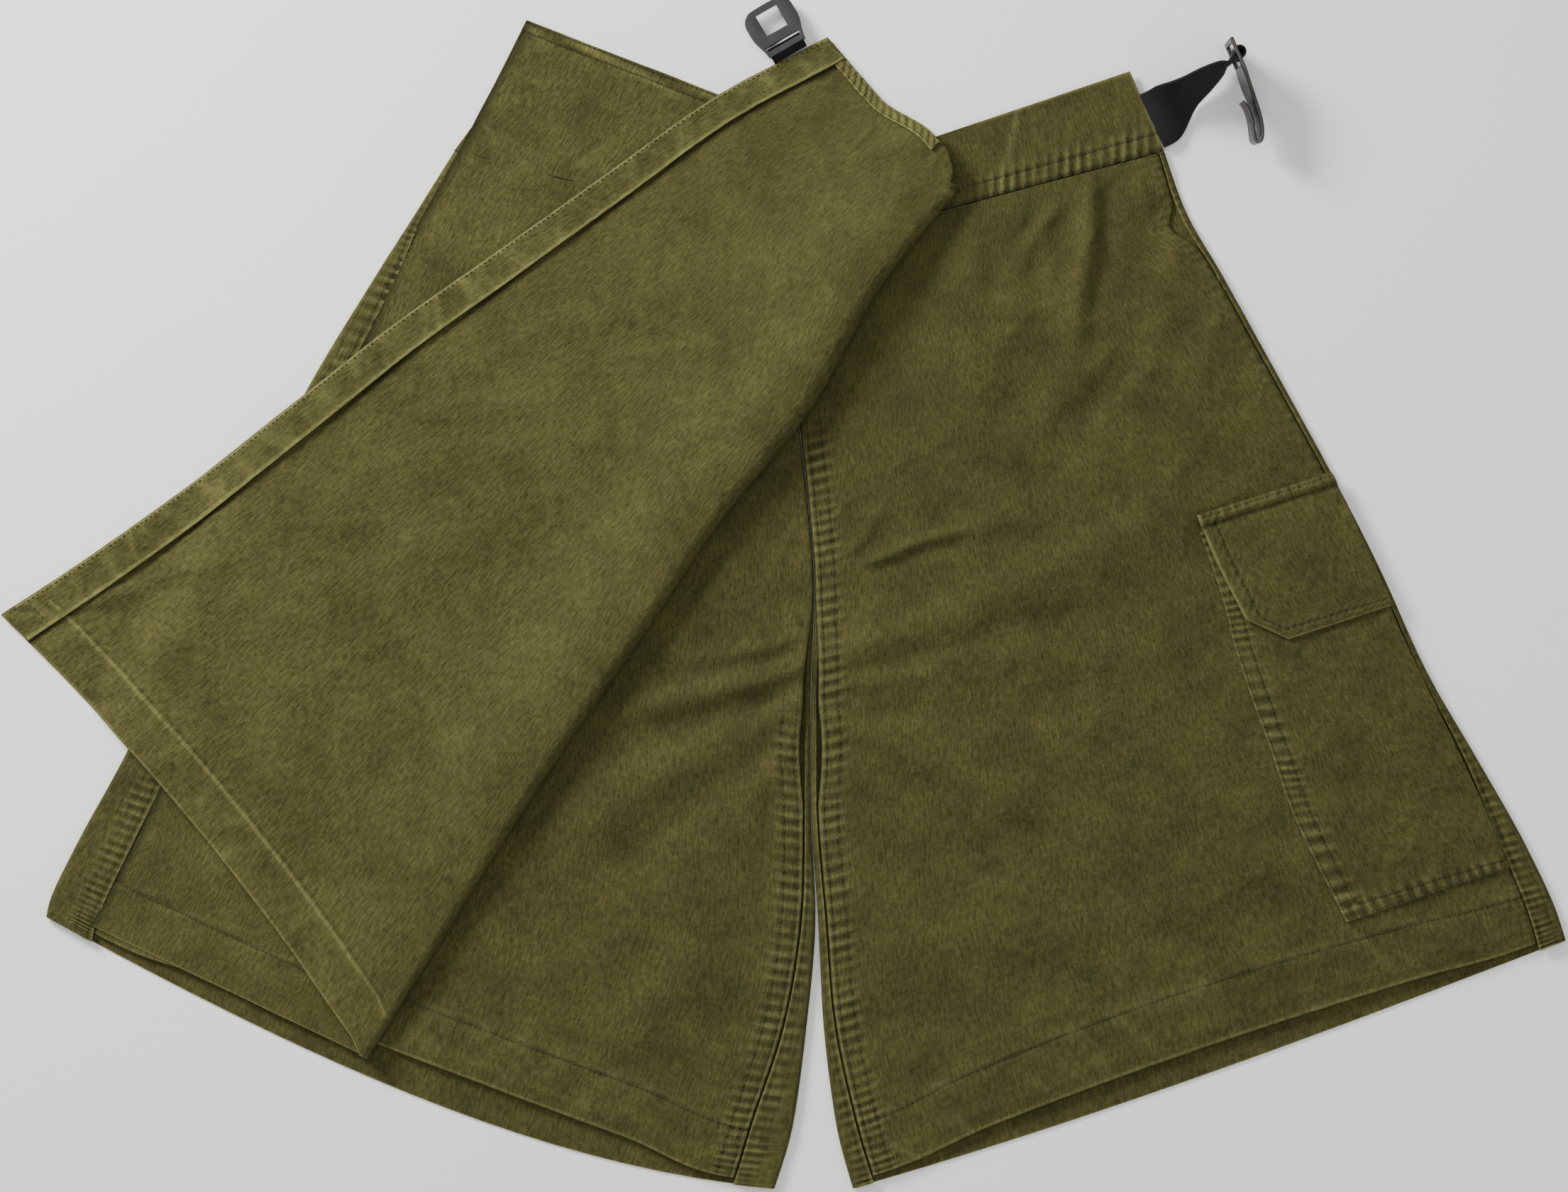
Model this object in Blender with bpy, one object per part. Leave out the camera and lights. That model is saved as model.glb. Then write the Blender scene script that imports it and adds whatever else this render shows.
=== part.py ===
# A pair of wide wrap-front shorts in cotton canvas, laid flat on its back.
# The wrap panel is sewn into the left side seam and folded back over itself at a soft rolled fold.
# Built in metres with +Z up; the waist points to +Y. Sizes below are in millimetres.
from collections import namedtuple
from math import cos, exp, hypot, pi, radians, sin

import bpy
import bmesh
from mathutils import Matrix, Vector

MM = 0.001

# Cloth and the way its layers lie on each other
CLOTH = 1.2
DOUBLE_CLOTH = 2.0
SEAM_GAP = 0.3
WAIST_GAP = 0.3
AIR = 1.8
FRONT_LEVEL = CLOTH + AIR
BAND_LEVEL = 2.1
WRAP_LEVEL = 4.6
FOLDED_LEVEL = WRAP_LEVEL + CLOTH + SEAM_GAP
LEG_HEM = 28.0
WRAP_HEM = 34.0
WRAP_HEM_RUN = 460.0
WRAP_RUN = 575.0
HEM_STEP = 0.8

# Sections across each leg, from the waist seam to the hem: where the section meets the inner edge
# and the side, how far it bows down, and how much of the back is turned over onto the front.
Leg = namedtuple("Leg", "inner_x inner_y side_x side_y bow inner_turn inner_level side_turn")
RIGHT_LEG = [
    Leg(17.5, 192, 209, 243, 0, 3.0, 0, 3.0),
    Leg(13, 150, 222, 208, 0, 3.0, 0, 4.0),
    Leg(8, 108, 241, 175, 0, 3.0, 0, 3.0),
    Leg(13, 56, 271, 121, 0, 3.0, 0, 3.0),
    Leg(17, 4, 300, 68, 0, 3.0, 0, 3.0),
    Leg(15, -58, 327, 15, 0, 3.0, 0, 3.0),
    Leg(15, -118, 353, -42, 0, 3.0, 1, 3.5),
    Leg(19, -180, 380, -89, 1, 4.0, 1, 6.5),
    Leg(22, -238, 404, -131, 2, 6.0, 1, 12.5),
    Leg(29, -292, 422, -168, 3, 10.5, 1, 15.0),
    Leg(38, -326.3, 429.5, -190, -5, 12.0, 1, 15.5),
]
LEFT_LEG = [
    Leg(17.2, 192, -181, 243, 0, 3.0, 0, 3.0),
    Leg(12.7, 150, -203, 208, 0, 3.0, 0, 5.0),
    Leg(7.7, 108, -224, 175, 0, 3.0, 0, 11.0),
    Leg(12.7, 56, -257, 121, 0, 3.0, 0, 16.0),
    Leg(16.7, 4, -285, 68, 0, 3.0, 0, 17.0),
    Leg(14.7, -58, -311, 13, -2, 3.0, 0, 18.0),
    Leg(14.7, -118, -339, -42, -5, 3.0, 1, 22.0),
    Leg(17.4, -180, -363, -91, -9, 7.5, 1, 25.0),
    Leg(12.5, -238, -385, -131, -14, 12.5, 1, 27.0),
    Leg(5, -292, -401, -163, -19, 23.0, 1, 27.0),
    Leg(-5, -326.3, -405, -177, -23, 24.0, 1, 27.0),
]
FRONT_SHORTER = 6.0
FRONT_ARC = {"front_left": 16.0, "front_right": 10.0}
WAIST_TOP = {1: ((17.5, 229), (190, 287)), -1: ((17.2, 229), (-151, 284))}
HALF_WAIST = 195.0
VENT_DEPTH = 7.0
VENT_Y = 204.0
VENT_REACH = 8.0

# The wrap panel, from waist to hem: side seam, rolled fold, free edge, and the height of the roll.
Wrap = namedtuple("Wrap", "seam_x seam_y fold_x fold_y edge_x edge_y roll")
WRAP = [
    Wrap(-141, 315, 96, 223, 24, 306, 8),
    Wrap(-174, 251, 52, 168, -40, 271, 13),
    Wrap(-208, 189, 13, 100, -98, 230, 14),
    Wrap(-237, 123, -34, 42, -157, 188, 12),
    Wrap(-267, 59, -77, -21, -215, 147, 11),
    Wrap(-297, -7, -120, -83, -272, 102, 10),
    Wrap(-327, -72, -161, -146, -329, 58, 8),
    Wrap(-354, -132, -198, -205, -384, 19, 6),
    Wrap(-380, -182, -229, -254, -429.5, -11, 4),
]
WRAP_HEM_BOW = 9.0
WRAP_TOP_BUMP = 8.0
ROLL_RUN = 70.0
DROOP_RUN = 30.0
FACING_WIDE = {0: 15.0, 1: 20.0}
TOP_FACING = 10.0
TOP_FACING_LIFT = 1.1
# The free edge runs slanted to the sections, so a strip's width is shorter across them
FACING_SLANT = 0.97
FOLDED_CELLS = 16

# Largest soft folds: from and to, the height (a trough is negative) and the half width.
Fold = namedtuple("Fold", "x0 y0 x1 y1 height width")
SHORTS_FOLDS = [
    Fold(146, 205, 112, 160, 1.4, 8),
    Fold(168, 208, 166, 146, 1.6, 9),
    Fold(186, 196, 209, 184, 1.6, 10),
    Fold(192, 134, 143, 66, 2.0, 16),
    Fold(50, 170, 34, 70, 1.6, 20),
    Fold(50, 19, 121, 38, 1.0, 7),
    Fold(32, -42, 205, 28, 2.2, 15),
    Fold(40, -70, 154, -100, 1.6, 14),
    Fold(22, -95, 70, -205, 1.4, 14),
    Fold(8, -38, -72, -58, 1.8, 10),
    Fold(6, -72, -100, -126, 2.0, 13),
    Fold(-6, -110, -62, -240, 1.6, 16),
    Fold(2, 60, -22, 20, 1.2, 9),
]
WRAP_FOLDS = [
    Fold(-120, 150, 10, 178, 1.0, 14),
    Fold(-290, 20, -150, 96, 1.4, 20),
    Fold(-376, -6, -322, 16, 1.2, 7),
    Fold(-170, 30, -60, 120, 1.2, 18),
    Fold(-300, -90, -210, -150, 1.2, 16),
]

# Cargo pocket on the right leg: rows from the top down, front edge and side edge.
Patch = namedtuple("Patch", "front_x front_y side_x side_y")
POCKET = [
    Patch(228, 34, 301, 57),
    Patch(241, -4, 324, 12),
    Patch(249, -35, 341, -26),
    Patch(268, -89, 368, -82),
    Patch(281, -125, 383, -114),
    Patch(308.5, -180, 398, -150),
]
FLAP = [
    Patch(226, 43, 300, 67),
    Patch(238, 15, 314, 38),
    Patch(253, -14, 329, 5),
    Patch(277, -25, 334, -6),
]

# Black strap: middle line, width and twist of each section, and the way it heads.
Strap = namedtuple("Strap", "x y z width twist heading")
STRAP = [
    Strap(202.4, 259.5, 3.4, 32, 0, 23.5),
    Strap(208.6, 263.2, 5.6, 32, 13, 28),
    Strap(214.5, 269.5, 11.4, 31.5, 42, 36),
    Strap(221, 275.5, 13.8, 30, 58, 38),
    Strap(230, 282.3, 15.4, 28, 66, 37),
    Strap(238, 288, 16.6, 26, 77, 35),
    Strap(242.0, 290.9, 17.0, 25, 90, 34.8),
]
STRAP_THICK = 1.4
LOOP_RADIUS = 3.0
LOOP_LOBE = 6.0

# Metal slide hook, standing on edge; distances along it start at its crossbar.
HOOK_BAR = (246.5, 294.0)
HOOK_MIDDLE_Z = 17.0
HOOK_THICK = 2.0
Station = namedtuple("Station", "x y half lean")
HOOK = [
    Station(242.9, 302.3, 15.5, 0),
    Station(243.9, 300.0, 16.0, 0),
    Station(245.9, 295.4, 16.0, 0),
    Station(247.1, 292.6, 16.0, 0),
    Station(249.1, 288.0, 16.0, 0),
    Station(250.3, 284.6, 15.5, 1),
    Station(252.6, 277.5, 13.0, 3),
    Station(255.4, 270.0, 9.5, 5),
    Station(258.6, 261.0, 7.5, 6),
    Station(260.2, 253.5, 6.4, 6),
    Station(260.0, 248.4, 6.0, 6),
    Station(258.4, 246.6, 5.9, 6),
    Station(256.5, 247.8, 5.8, 6),
    Station(255.8, 252.0, 5.6, 6),
    Station(254.6, 259.0, 5.3, 5),
    Station(252.4, 265.4, 5.0, 4),
    Station(249.8, 268.6, 4.2, 4),
]
SLOT_PART = 0.82

# Plastic tab with a square hole, on a loop of black webbing at the corner of the free edge.
TAB_BASE = (4.0, 296.0)
TAB_AIM = (-0.50, 0.866)
TAB_BAR_OUT = 5.0
TAB_BAR_Z = 4.0
TAB_THICK = 3.2
TAB_TILT = 4.0
TAB_LOOP_RADIUS = 3.0
TAB_WEBBING = 1.2
TAB_WEBBING_WIDE = 20.0
TAB_BACK = 3.4
TAB_BAR_FAR = 6.6
TAB_SLOT_FAR = 9.2
TAB_HOLE_NEAR = 14.6
TAB_HOLE_FAR = 27.6
TAB_END = 31.0
TAB_HALF = 14.2
TAB_SLOT_HALF = 10.6
TAB_HOLE_HALF = 6.5
TAB_ROUND_END = ((0.72, 3.2), (0.84, 1.2), (0.9, 0.0))


def ease(t):
    t = min(max(t, 0.0), 1.0)
    return t * t * (3 - 2 * t)


def read(rows, v):
    # A smooth curve through each column of a table, at v from 0 on the first row to 1 on the last
    place = min(max(v, 0.0), 1.0) * (len(rows) - 1)
    i = min(int(place), len(rows) - 2)
    t = place - i
    before, start, end, after = rows[max(i - 1, 0)], rows[i], rows[i + 1], rows[min(i + 2, len(rows) - 1)]
    values = []
    for a, b, c, d in zip(before, start, end, after):
        curve = (2 * b + (c - a) * t + (2 * a - 5 * b + 4 * c - d) * t * t
                 + (3 * b - a - 3 * c + d) * t ** 3) / 2
        values.append(min(max(curve, min(a, b, c, d)), max(a, b, c, d)))
    return type(start)(*values)


def spread(start, stop, count):
    return [start + (stop - start) * i / count for i in range(count + 1)]


def folds_height(folds, x, y):
    total = 0.0
    for f in folds:
        along_x, along_y = f.x1 - f.x0, f.y1 - f.y0
        length = hypot(along_x, along_y)
        t = ((x - f.x0) * along_x + (y - f.y0) * along_y) / length ** 2
        off = abs((x - f.x0) * along_y - (y - f.y0) * along_x) / length
        beyond = max(-t, t - 1, 0.0) * length
        total += f.height * exp(-(off / f.width) ** 2 - (beyond / (1.6 * f.width)) ** 2)
    return total


def line_at(rows, x_name, y_name, y):
    # The x of a table's line where it passes the height y
    points = [(getattr(r, y_name), getattr(r, x_name)) for r in rows]
    for (y0, x0), (y1, x1) in zip(points, points[1:]):
        if y1 <= y <= y0:
            return x0 + (x1 - x0) * (y0 - y) / (y0 - y1)
    return points[0][1] if y > points[0][0] else points[-1][1]


def uncovered(x, y):
    # From 0 where the wrap covers the shorts' front to 1 where the front shows
    right_of_fold = x - line_at(WRAP, "fold_x", "fold_y", y)
    return ease((right_of_fold - 2) / 22) if y > WRAP[-1].fold_y else 1.0


def front_height(x, y):
    # Underside of the shorts' front: flat where the wrap covers it
    return FRONT_LEVEL + uncovered(x, y) * folds_height(SHORTS_FOLDS, x, y)


def leg_point(leg, v, across):
    # A point of a leg's outline plane, across in millimetres from the inner edge
    row = read(leg, v)
    dx, dy = row.side_x - row.inner_x, row.side_y - row.inner_y
    width = hypot(dx, dy)
    u = across / width
    bow = 4 * row.bow * u * (1 - u) * (1.25 - 0.5 * u)
    return row.inner_x + dx * u, row.inner_y + dy * u + bow


def leg_width(leg, v):
    row = read(leg, v)
    return hypot(row.side_x - row.inner_x, row.side_y - row.inner_y)


def wall(name, upper, lower, missing=()):
    # A closed wall between two grids of points in millimetres; missing names cells left open
    rows, columns = len(upper), len(upper[0])
    mesh = bmesh.new()
    top = [[mesh.verts.new(Vector(p) * MM) for p in row] for row in upper]
    under = [[mesh.verts.new(Vector(p) * MM) for p in row] for row in lower]
    cells = {(i, j) for i in range(rows - 1) for j in range(columns - 1)} - set(missing)
    for i, j in cells:
        mesh.faces.new((top[i][j], top[i][j + 1], top[i + 1][j + 1], top[i + 1][j]))
        mesh.faces.new((under[i][j], under[i + 1][j], under[i + 1][j + 1], under[i][j + 1]))
        for step, (a, b) in {(-1, 0): ((i, j), (i, j + 1)), (1, 0): ((i + 1, j + 1), (i + 1, j)),
                             (0, -1): ((i + 1, j), (i, j)), (0, 1): ((i, j + 1), (i + 1, j + 1))}.items():
            if (i + step[0], j + step[1]) not in cells:
                mesh.faces.new((top[b[0]][b[1]], top[a[0]][a[1]], under[a[0]][a[1]], under[b[0]][b[1]]))
    loose = [vert for vert in mesh.verts if not vert.link_faces]
    bmesh.ops.delete(mesh, geom=loose, context="VERTS")
    bmesh.ops.triangulate(mesh, faces=mesh.faces)
    bmesh.ops.recalc_face_normals(mesh, faces=mesh.faces)
    data = bpy.data.meshes.new(name)
    mesh.to_mesh(data)
    mesh.free()
    data.shade_smooth()
    data.set_sharp_from_angle(angle=radians(40))
    piece = bpy.data.objects.new(name, data)
    bpy.context.scene.collection.objects.link(piece)
    return piece


def finish(piece, hex_colour, roughness, metallic=0.0):
    material = bpy.data.materials.new(piece.name)
    material.use_nodes = True
    shader = material.node_tree.nodes["Principled BSDF"]
    channels = [int(hex_colour[i:i + 2], 16) / 255 for i in (0, 2, 4)]
    shader.inputs["Base Color"].default_value = (*[c ** 2.2 for c in channels], 1)
    shader.inputs["Roughness"].default_value = roughness
    shader.inputs["Metallic"].default_value = metallic
    piece.data.materials.append(material)
    return piece


def canvas(piece):
    return finish(piece, "5c5b31", 0.9)


def back(name, leg):
    # One back panel: flat on the table, its side and inseam edges turned up and over onto the front
    upper, lower = [], []
    for v in spread(0, 1, 22):
        row = read(leg, v)
        width = leg_width(leg, v)
        side_x, side_y = leg_point(leg, v, width)
        inner_x, inner_y = leg_point(leg, v, 0)
        middle = CLOTH / 2
        side_top = front_height(side_x, side_y) + CLOTH / 2
        inner_low = CLOTH + SEAM_GAP + CLOTH / 2
        inner_top = inner_low + row.inner_level * (front_height(inner_x, inner_y) + CLOTH / 2 - inner_low)
        path = []
        inner_r, side_r = (inner_top - middle) / 2, (side_top - middle) / 2
        inner_start, side_start = inner_r + CLOTH / 2, side_r + CLOTH / 2
        path.append((row.inner_turn, inner_top, 0, 1))
        for degrees in spread(90, 270, 4):
            path.append((inner_start + inner_r * cos(radians(degrees)),
                         middle + inner_r + inner_r * sin(radians(degrees)),
                         cos(radians(degrees)), sin(radians(degrees))))
        for u in spread(0, 1, 9)[1:-1]:
            path.append((inner_start + (width - inner_start - side_start) * u, middle, 0, -1))
        for degrees in spread(-90, 90, 4):
            path.append((width - side_start + side_r * cos(radians(degrees)),
                         middle + side_r + side_r * sin(radians(degrees)),
                         cos(radians(degrees)), sin(radians(degrees))))
        path.append((width - row.side_turn, side_top, 0, 1))
        outside, inside = [], []
        for across, z, out_a, out_z in path:
            x, y = leg_point(leg, v, across + out_a * CLOTH / 2)
            outside.append((x, y, z + out_z * CLOTH / 2))
            x, y = leg_point(leg, v, across - out_a * CLOTH / 2)
            inside.append((x, y, z - out_z * CLOTH / 2))
        upper.append(outside)
        lower.append(inside)
    return canvas(wall(name, upper, lower))


def front_edges(leg, v):
    # Where a front panel's section starts and ends: at the inseam and the side seam, less the vent
    row = read(leg, v)
    width = leg_width(leg, v)
    side_y = leg_point(leg, v, width)[1]
    vent = VENT_DEPTH * exp(-((side_y - VENT_Y) / VENT_REACH) ** 2) if leg is RIGHT_LEG else 0.0
    clear = 4 * row.inner_level * (1 - row.inner_level) * 2
    lead = ease((v - 0.4) / 0.09)
    start = SEAM_GAP / 2 + lead * (row.inner_turn + 2 * SEAM_GAP + clear)
    return start, width - row.side_turn - SEAM_GAP - vent


def v_above_hem(leg, t, distance):
    # The v that lies so many millimetres above the back's hem, at the share t across the leg
    points = [(r.inner_x + (r.side_x - r.inner_x) * t, r.inner_y + (r.side_y - r.inner_y) * t)
              for r in reversed(leg)]
    v = 1.0
    for low, high in zip(points, points[1:]):
        step = hypot(high[0] - low[0], high[1] - low[1])
        if distance <= step:
            return v - distance / step / (len(leg) - 1)
        distance -= step
        v -= 1 / (len(leg) - 1)


def front(name, leg):
    # One front panel between the seams, from the waist seam (station 0) down to its hem's
    # stitching (station 1) and the hem's edge (station 2)
    upper, lower = [], []
    for station in spread(0, 1, 20) + [1.1, 1.5, 2]:
        outside, inside = [], []
        for t in spread(0, 1, 15):
            last = v_above_hem(leg, t, FRONT_SHORTER)
            hem = v_above_hem(leg, t, FRONT_SHORTER + LEG_HEM)
            v = hem * min(station, 1) + (last - hem) * max(station - 1, 0)
            start, end = front_edges(leg, v)
            x, y = leg_point(leg, v, start + (end - start) * t)
            from_seams = ease((v - 0.5) / 0.5) * ease(6 * t) * ease(6 * (1 - t))
            y += 4 * FRONT_ARC[name] * t * (1 - t) * (1.25 - 0.5 * t) * from_seams
            y -= WAIST_GAP / 2 if station == 0 else 0.0
            z = front_height(x, y)
            step = HEM_STEP if station > 1 else 0.0
            inside.append((x, y, z))
            outside.append((x, y, z + CLOTH + step * uncovered(x, y)))
        upper.append(outside)
        lower.append(inside)
    return canvas(wall(name, upper, lower))


def waistband(name, level, thick, inset):
    # A straight band on top of the waist seam, from side to side
    upper, lower = [], []
    stations = [(-1, u) for u in spread(1, 0, 8)] + [(1, u) for u in spread(0, 1, 8)[1:]]
    for w in spread(0, 1, 3):
        outside, inside = [], []
        for side, u in stations:
            leg = RIGHT_LEG if side > 0 else LEFT_LEG
            (mid_x, mid_y), (end_x, end_y) = WAIST_TOP[side]
            reach = u * (1 - inset / HALF_WAIST)
            seam_x, seam_y = leg_point(leg, 0, leg_width(leg, 0) * reach)
            top_x, top_y = mid_x + (end_x - mid_x) * reach, mid_y + (end_y - mid_y) * reach - inset
            bottom_y = seam_y + WAIST_GAP / 2
            x, y = seam_x + (top_x - seam_x) * w, bottom_y + (top_y - bottom_y) * w
            inside.append((x, y, level))
            outside.append((x, y, level + thick))
        upper.append(outside)
        lower.append(inside)
    return canvas(wall(name, upper, lower))


def past_shorts(x, y):
    # How far a point lies outside the layers under it
    side = line_at(LEFT_LEG, "side_x", "side_y", y) - x
    top_slope = (WRAP[0].fold_y - WRAP[0].seam_y) / (WRAP[0].fold_x - WRAP[0].seam_x)
    top = y - (WRAP[0].seam_y + top_slope * (x - WRAP[0].seam_x))
    (band_x, band_y), (band_end_x, band_end_y) = WAIST_TOP[1]
    if x > band_x:
        top = min(top, y - band_y - (band_end_y - band_y) / (band_end_x - band_x) * (x - band_x))
    return max(side * 0.88 if y < LEFT_LEG[0].side_y else 0.0, top * 0.93, 0.0)


def wrap_height(x, y, from_fold, roll):
    # Underside of the folded-over layer: high at the roll, down on the table past the shorts
    stack = FOLDED_LEVEL + roll * (1 + cos(pi * min(from_fold / ROLL_RUN, 1.0))) / 2
    drop = ease(past_shorts(x, y) / DROOP_RUN)
    return stack * (1 - drop) + folds_height(WRAP_FOLDS, x, y)


def folded_point(v, u):
    # A point in plan of the folded-over layer, u from 0 at the fold to 1 at the free edge
    row = read(WRAP, v)
    dx, dy = row.edge_x - row.fold_x, row.edge_y - row.fold_y
    width = hypot(dx, dy)
    bow = 4 * u * (1 - u) * WRAP_HEM_BOW * ease((v - 0.6) / 0.4)
    bow += WRAP_TOP_BUMP * ease(u / 0.2) * ease((0.6 - u) / 0.32) * ease((0.25 - v) / 0.25)
    return row.fold_x + dx * u + dy / width * bow, row.fold_y + dy * u - dx / width * bow, width, row.roll


def fold_start(v):
    # The first u of the folded-over layer, just past the top of the roll
    row = read(WRAP, v)
    width = hypot(row.edge_x - row.fold_x, row.edge_y - row.fold_y)
    return ((FOLDED_LEVEL - WRAP_LEVEL + row.roll) / 2 + CLOTH / 2) / width + 0.02


def wrap_panel():
    # One wall: the lower layer, the roll at the fold and the layer folded back over it
    hem = 1 - WRAP_HEM / WRAP_HEM_RUN
    upper, lower = [], []
    for v in spread(0, hem, 24) + [hem + 0.004, 1]:
        row = read(WRAP, v)
        span_x, span_y = row.fold_x - row.seam_x, row.fold_y - row.seam_y
        span = hypot(span_x, span_y)
        out_x, out_y = span_x / span, span_y / span
        low = WRAP_LEVEL + CLOTH / 2
        high = FOLDED_LEVEL + row.roll + CLOTH / 2
        r = (high - low) / 2
        centre_x, centre_y = row.fold_x - out_x * (r + CLOTH / 2), row.fold_y - out_y * (r + CLOTH / 2)
        outside, inside = [], []
        for u in spread(0, 1, 9)[:-1]:
            x = row.seam_x + (centre_x - row.seam_x) * u
            y = row.seam_y + (centre_y - row.seam_y) * u
            outside.append((x, y, WRAP_LEVEL))
            inside.append((x, y, WRAP_LEVEL + CLOTH))
        for degrees in spread(-90, 90, 6):
            a, z = cos(radians(degrees)), sin(radians(degrees))
            for layer, radius in ((outside, r + CLOTH / 2), (inside, r - CLOTH / 2)):
                layer.append((centre_x + out_x * a * radius, centre_y + out_y * a * radius,
                              low + r + z * radius))
        step = HEM_STEP if v > hem else 0.0
        first = fold_start(v)
        for u in spread(first, 1, FOLDED_CELLS)[1:]:
            x, y, width, roll = folded_point(v, u)
            z = wrap_height(x, y, width * (u - first), roll)
            outside.append((x, y, z + CLOTH + step))
            inside.append((x, y, z))
        upper.append(outside)
        lower.append(inside)
    return canvas(wall("wrap_panel", upper, lower))


def on_wrap(name, v_stations, strip, thick, lift):
    # A strip that lies on the folded-over layer; strip(v) gives its first and last u
    upper, lower = [], []
    for v in v_stations:
        outside, inside = [], []
        first, last = strip(v)
        for u in spread(first, last, 3):
            x, y, width, roll = folded_point(v, u)
            z = wrap_height(x, y, width * (u - fold_start(v)), roll) + CLOTH + lift
            inside.append((x, y, z))
            outside.append((x, y, z + thick))
        upper.append(outside)
        lower.append(inside)
    return canvas(wall(name, upper, lower))


def wrap_facing():
    # Strip sewn along the free edge, on the inner side of the cloth
    def strip(v):
        wide = FACING_WIDE[0] + (FACING_WIDE[1] - FACING_WIDE[0]) * v
        width = folded_point(v, 0)[2]
        return 1 - wide / (width * FACING_SLANT), 1 - 0.4 / width
    return on_wrap("wrap_facing", spread(0.002, 0.998, 40), strip, CLOTH, HEM_STEP + SEAM_GAP)


def wrap_waist_facing():
    # Narrow turned edge along the top of the folded-over layer
    upper, lower = [], []
    for v in (0.004, 0.004 + TOP_FACING / WRAP_RUN):
        outside, inside = [], []
        for u in spread(fold_start(v), 1, FOLDED_CELLS)[1:14]:
            x, y, width, roll = folded_point(v, u)
            z = wrap_height(x, y, width * (u - fold_start(v)), roll) + CLOTH + TOP_FACING_LIFT
            inside.append((x, y, z))
            outside.append((x, y, z + CLOTH))
        upper.append(outside)
        lower.append(inside)
    return canvas(wall("wrap_waist_facing", upper, lower))


def patch(name, rows, v_count, u_count, lift, thick):
    # A flat piece that follows the front panel's own surface
    upper, lower = [], []
    for v in spread(0, 1, v_count):
        row = read(rows, v)
        outside, inside = [], []
        for u in spread(0, 1, u_count):
            x = row.front_x + (row.side_x - row.front_x) * u
            y = row.front_y + (row.side_y - row.front_y) * u
            z = front_height(x, y) + CLOTH + lift
            inside.append((x, y, z))
            outside.append((x, y, z + thick))
        upper.append(outside)
        lower.append(inside)
    return canvas(wall(name, upper, lower))


def strap():
    # The band's black strap: it turns on edge, goes round the hook's crossbar and back on itself
    path = [(s.x, s.y, s.z, s.width, s.twist, s.heading) for s in STRAP]
    last = STRAP[-1]
    bar_x, bar_y = HOOK_BAR
    for degrees in spread(90, -90, 8):
        turn = radians(last.heading + degrees)
        reach = LOOP_RADIUS + (LOOP_LOBE - LOOP_RADIUS) * max(cos(radians(degrees)), 0) ** 0.7
        x = bar_x + cos(turn) * (reach if abs(degrees) < 80 else LOOP_RADIUS)
        y = bar_y + sin(turn) * (reach if abs(degrees) < 80 else LOOP_RADIUS)
        path.append((x, y, last.z, last.width, 90, last.heading + degrees - 90))
    back_way = radians(last.heading + 180)
    side_way = radians(last.heading - 90)
    for run in (5.0, 10.0):
        x = bar_x + cos(side_way) * LOOP_RADIUS + cos(back_way) * run
        y = bar_y + sin(side_way) * LOOP_RADIUS + sin(back_way) * run
        path.append((x, y, last.z, last.width, 90, last.heading - 180))
    upper, lower = [], []
    for x, y, z, width, twist, heading in path:
        along = Vector((cos(radians(heading)), sin(radians(heading)), 0))
        level = Vector((-along.y, along.x, 0))
        across = level * cos(radians(twist)) + Vector((0, 0, 1)) * sin(radians(twist))
        face = along.cross(across)
        middle = Vector((x, y, z))
        outside, inside = [], []
        for w in spread(-0.5, 0.5, 3):
            outside.append(middle + across * width * w + face * STRAP_THICK / 2)
            inside.append(middle + across * width * w - face * STRAP_THICK / 2)
        upper.append(outside)
        lower.append(inside)
    return finish(wall("strap", upper, lower), "222226", 0.85)


def hook():
    # Pressed metal: a slide with two slots and a crossbar, then a tapering blade bent back at its tip
    upper, lower = [], []
    for i, station in enumerate(HOOK):
        before, after = HOOK[max(i - 1, 0)], HOOK[min(i + 1, len(HOOK) - 1)]
        along = Vector((after.x - before.x, after.y - before.y)).normalized()
        side = Vector((-along.y, along.x))
        outside, inside = [], []
        for w in (-1, -SLOT_PART, 0, SLOT_PART, 1):
            z = HOOK_MIDDLE_Z + station.half * w
            shift = station.half * w * sin(radians(station.lean))
            x, y = station.x + shift, station.y
            outside.append((x + side.x * HOOK_THICK / 2, y + side.y * HOOK_THICK / 2, z))
            inside.append((x - side.x * HOOK_THICK / 2, y - side.y * HOOK_THICK / 2, z))
        upper.append(outside)
        lower.append(inside)
    slots = [(i, j) for i in (1, 3) for j in (1, 2)]
    piece = finish(wall("hook", upper, lower, slots), "3a3a3c", 0.35, 1.0)
    set_origin(piece, (*HOOK_BAR, HOOK_MIDDLE_Z))
    return piece


def set_origin(piece, point_mm):
    point = Vector(point_mm) * MM
    piece.data.transform(Matrix.Translation(-point))
    piece.location = point


def tab_frame():
    aim = Vector((*TAB_AIM, 0)).normalized()
    across = Vector((-aim.y, aim.x, 0))
    base = Vector((*TAB_BASE, 0))
    return base, aim, across


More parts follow.
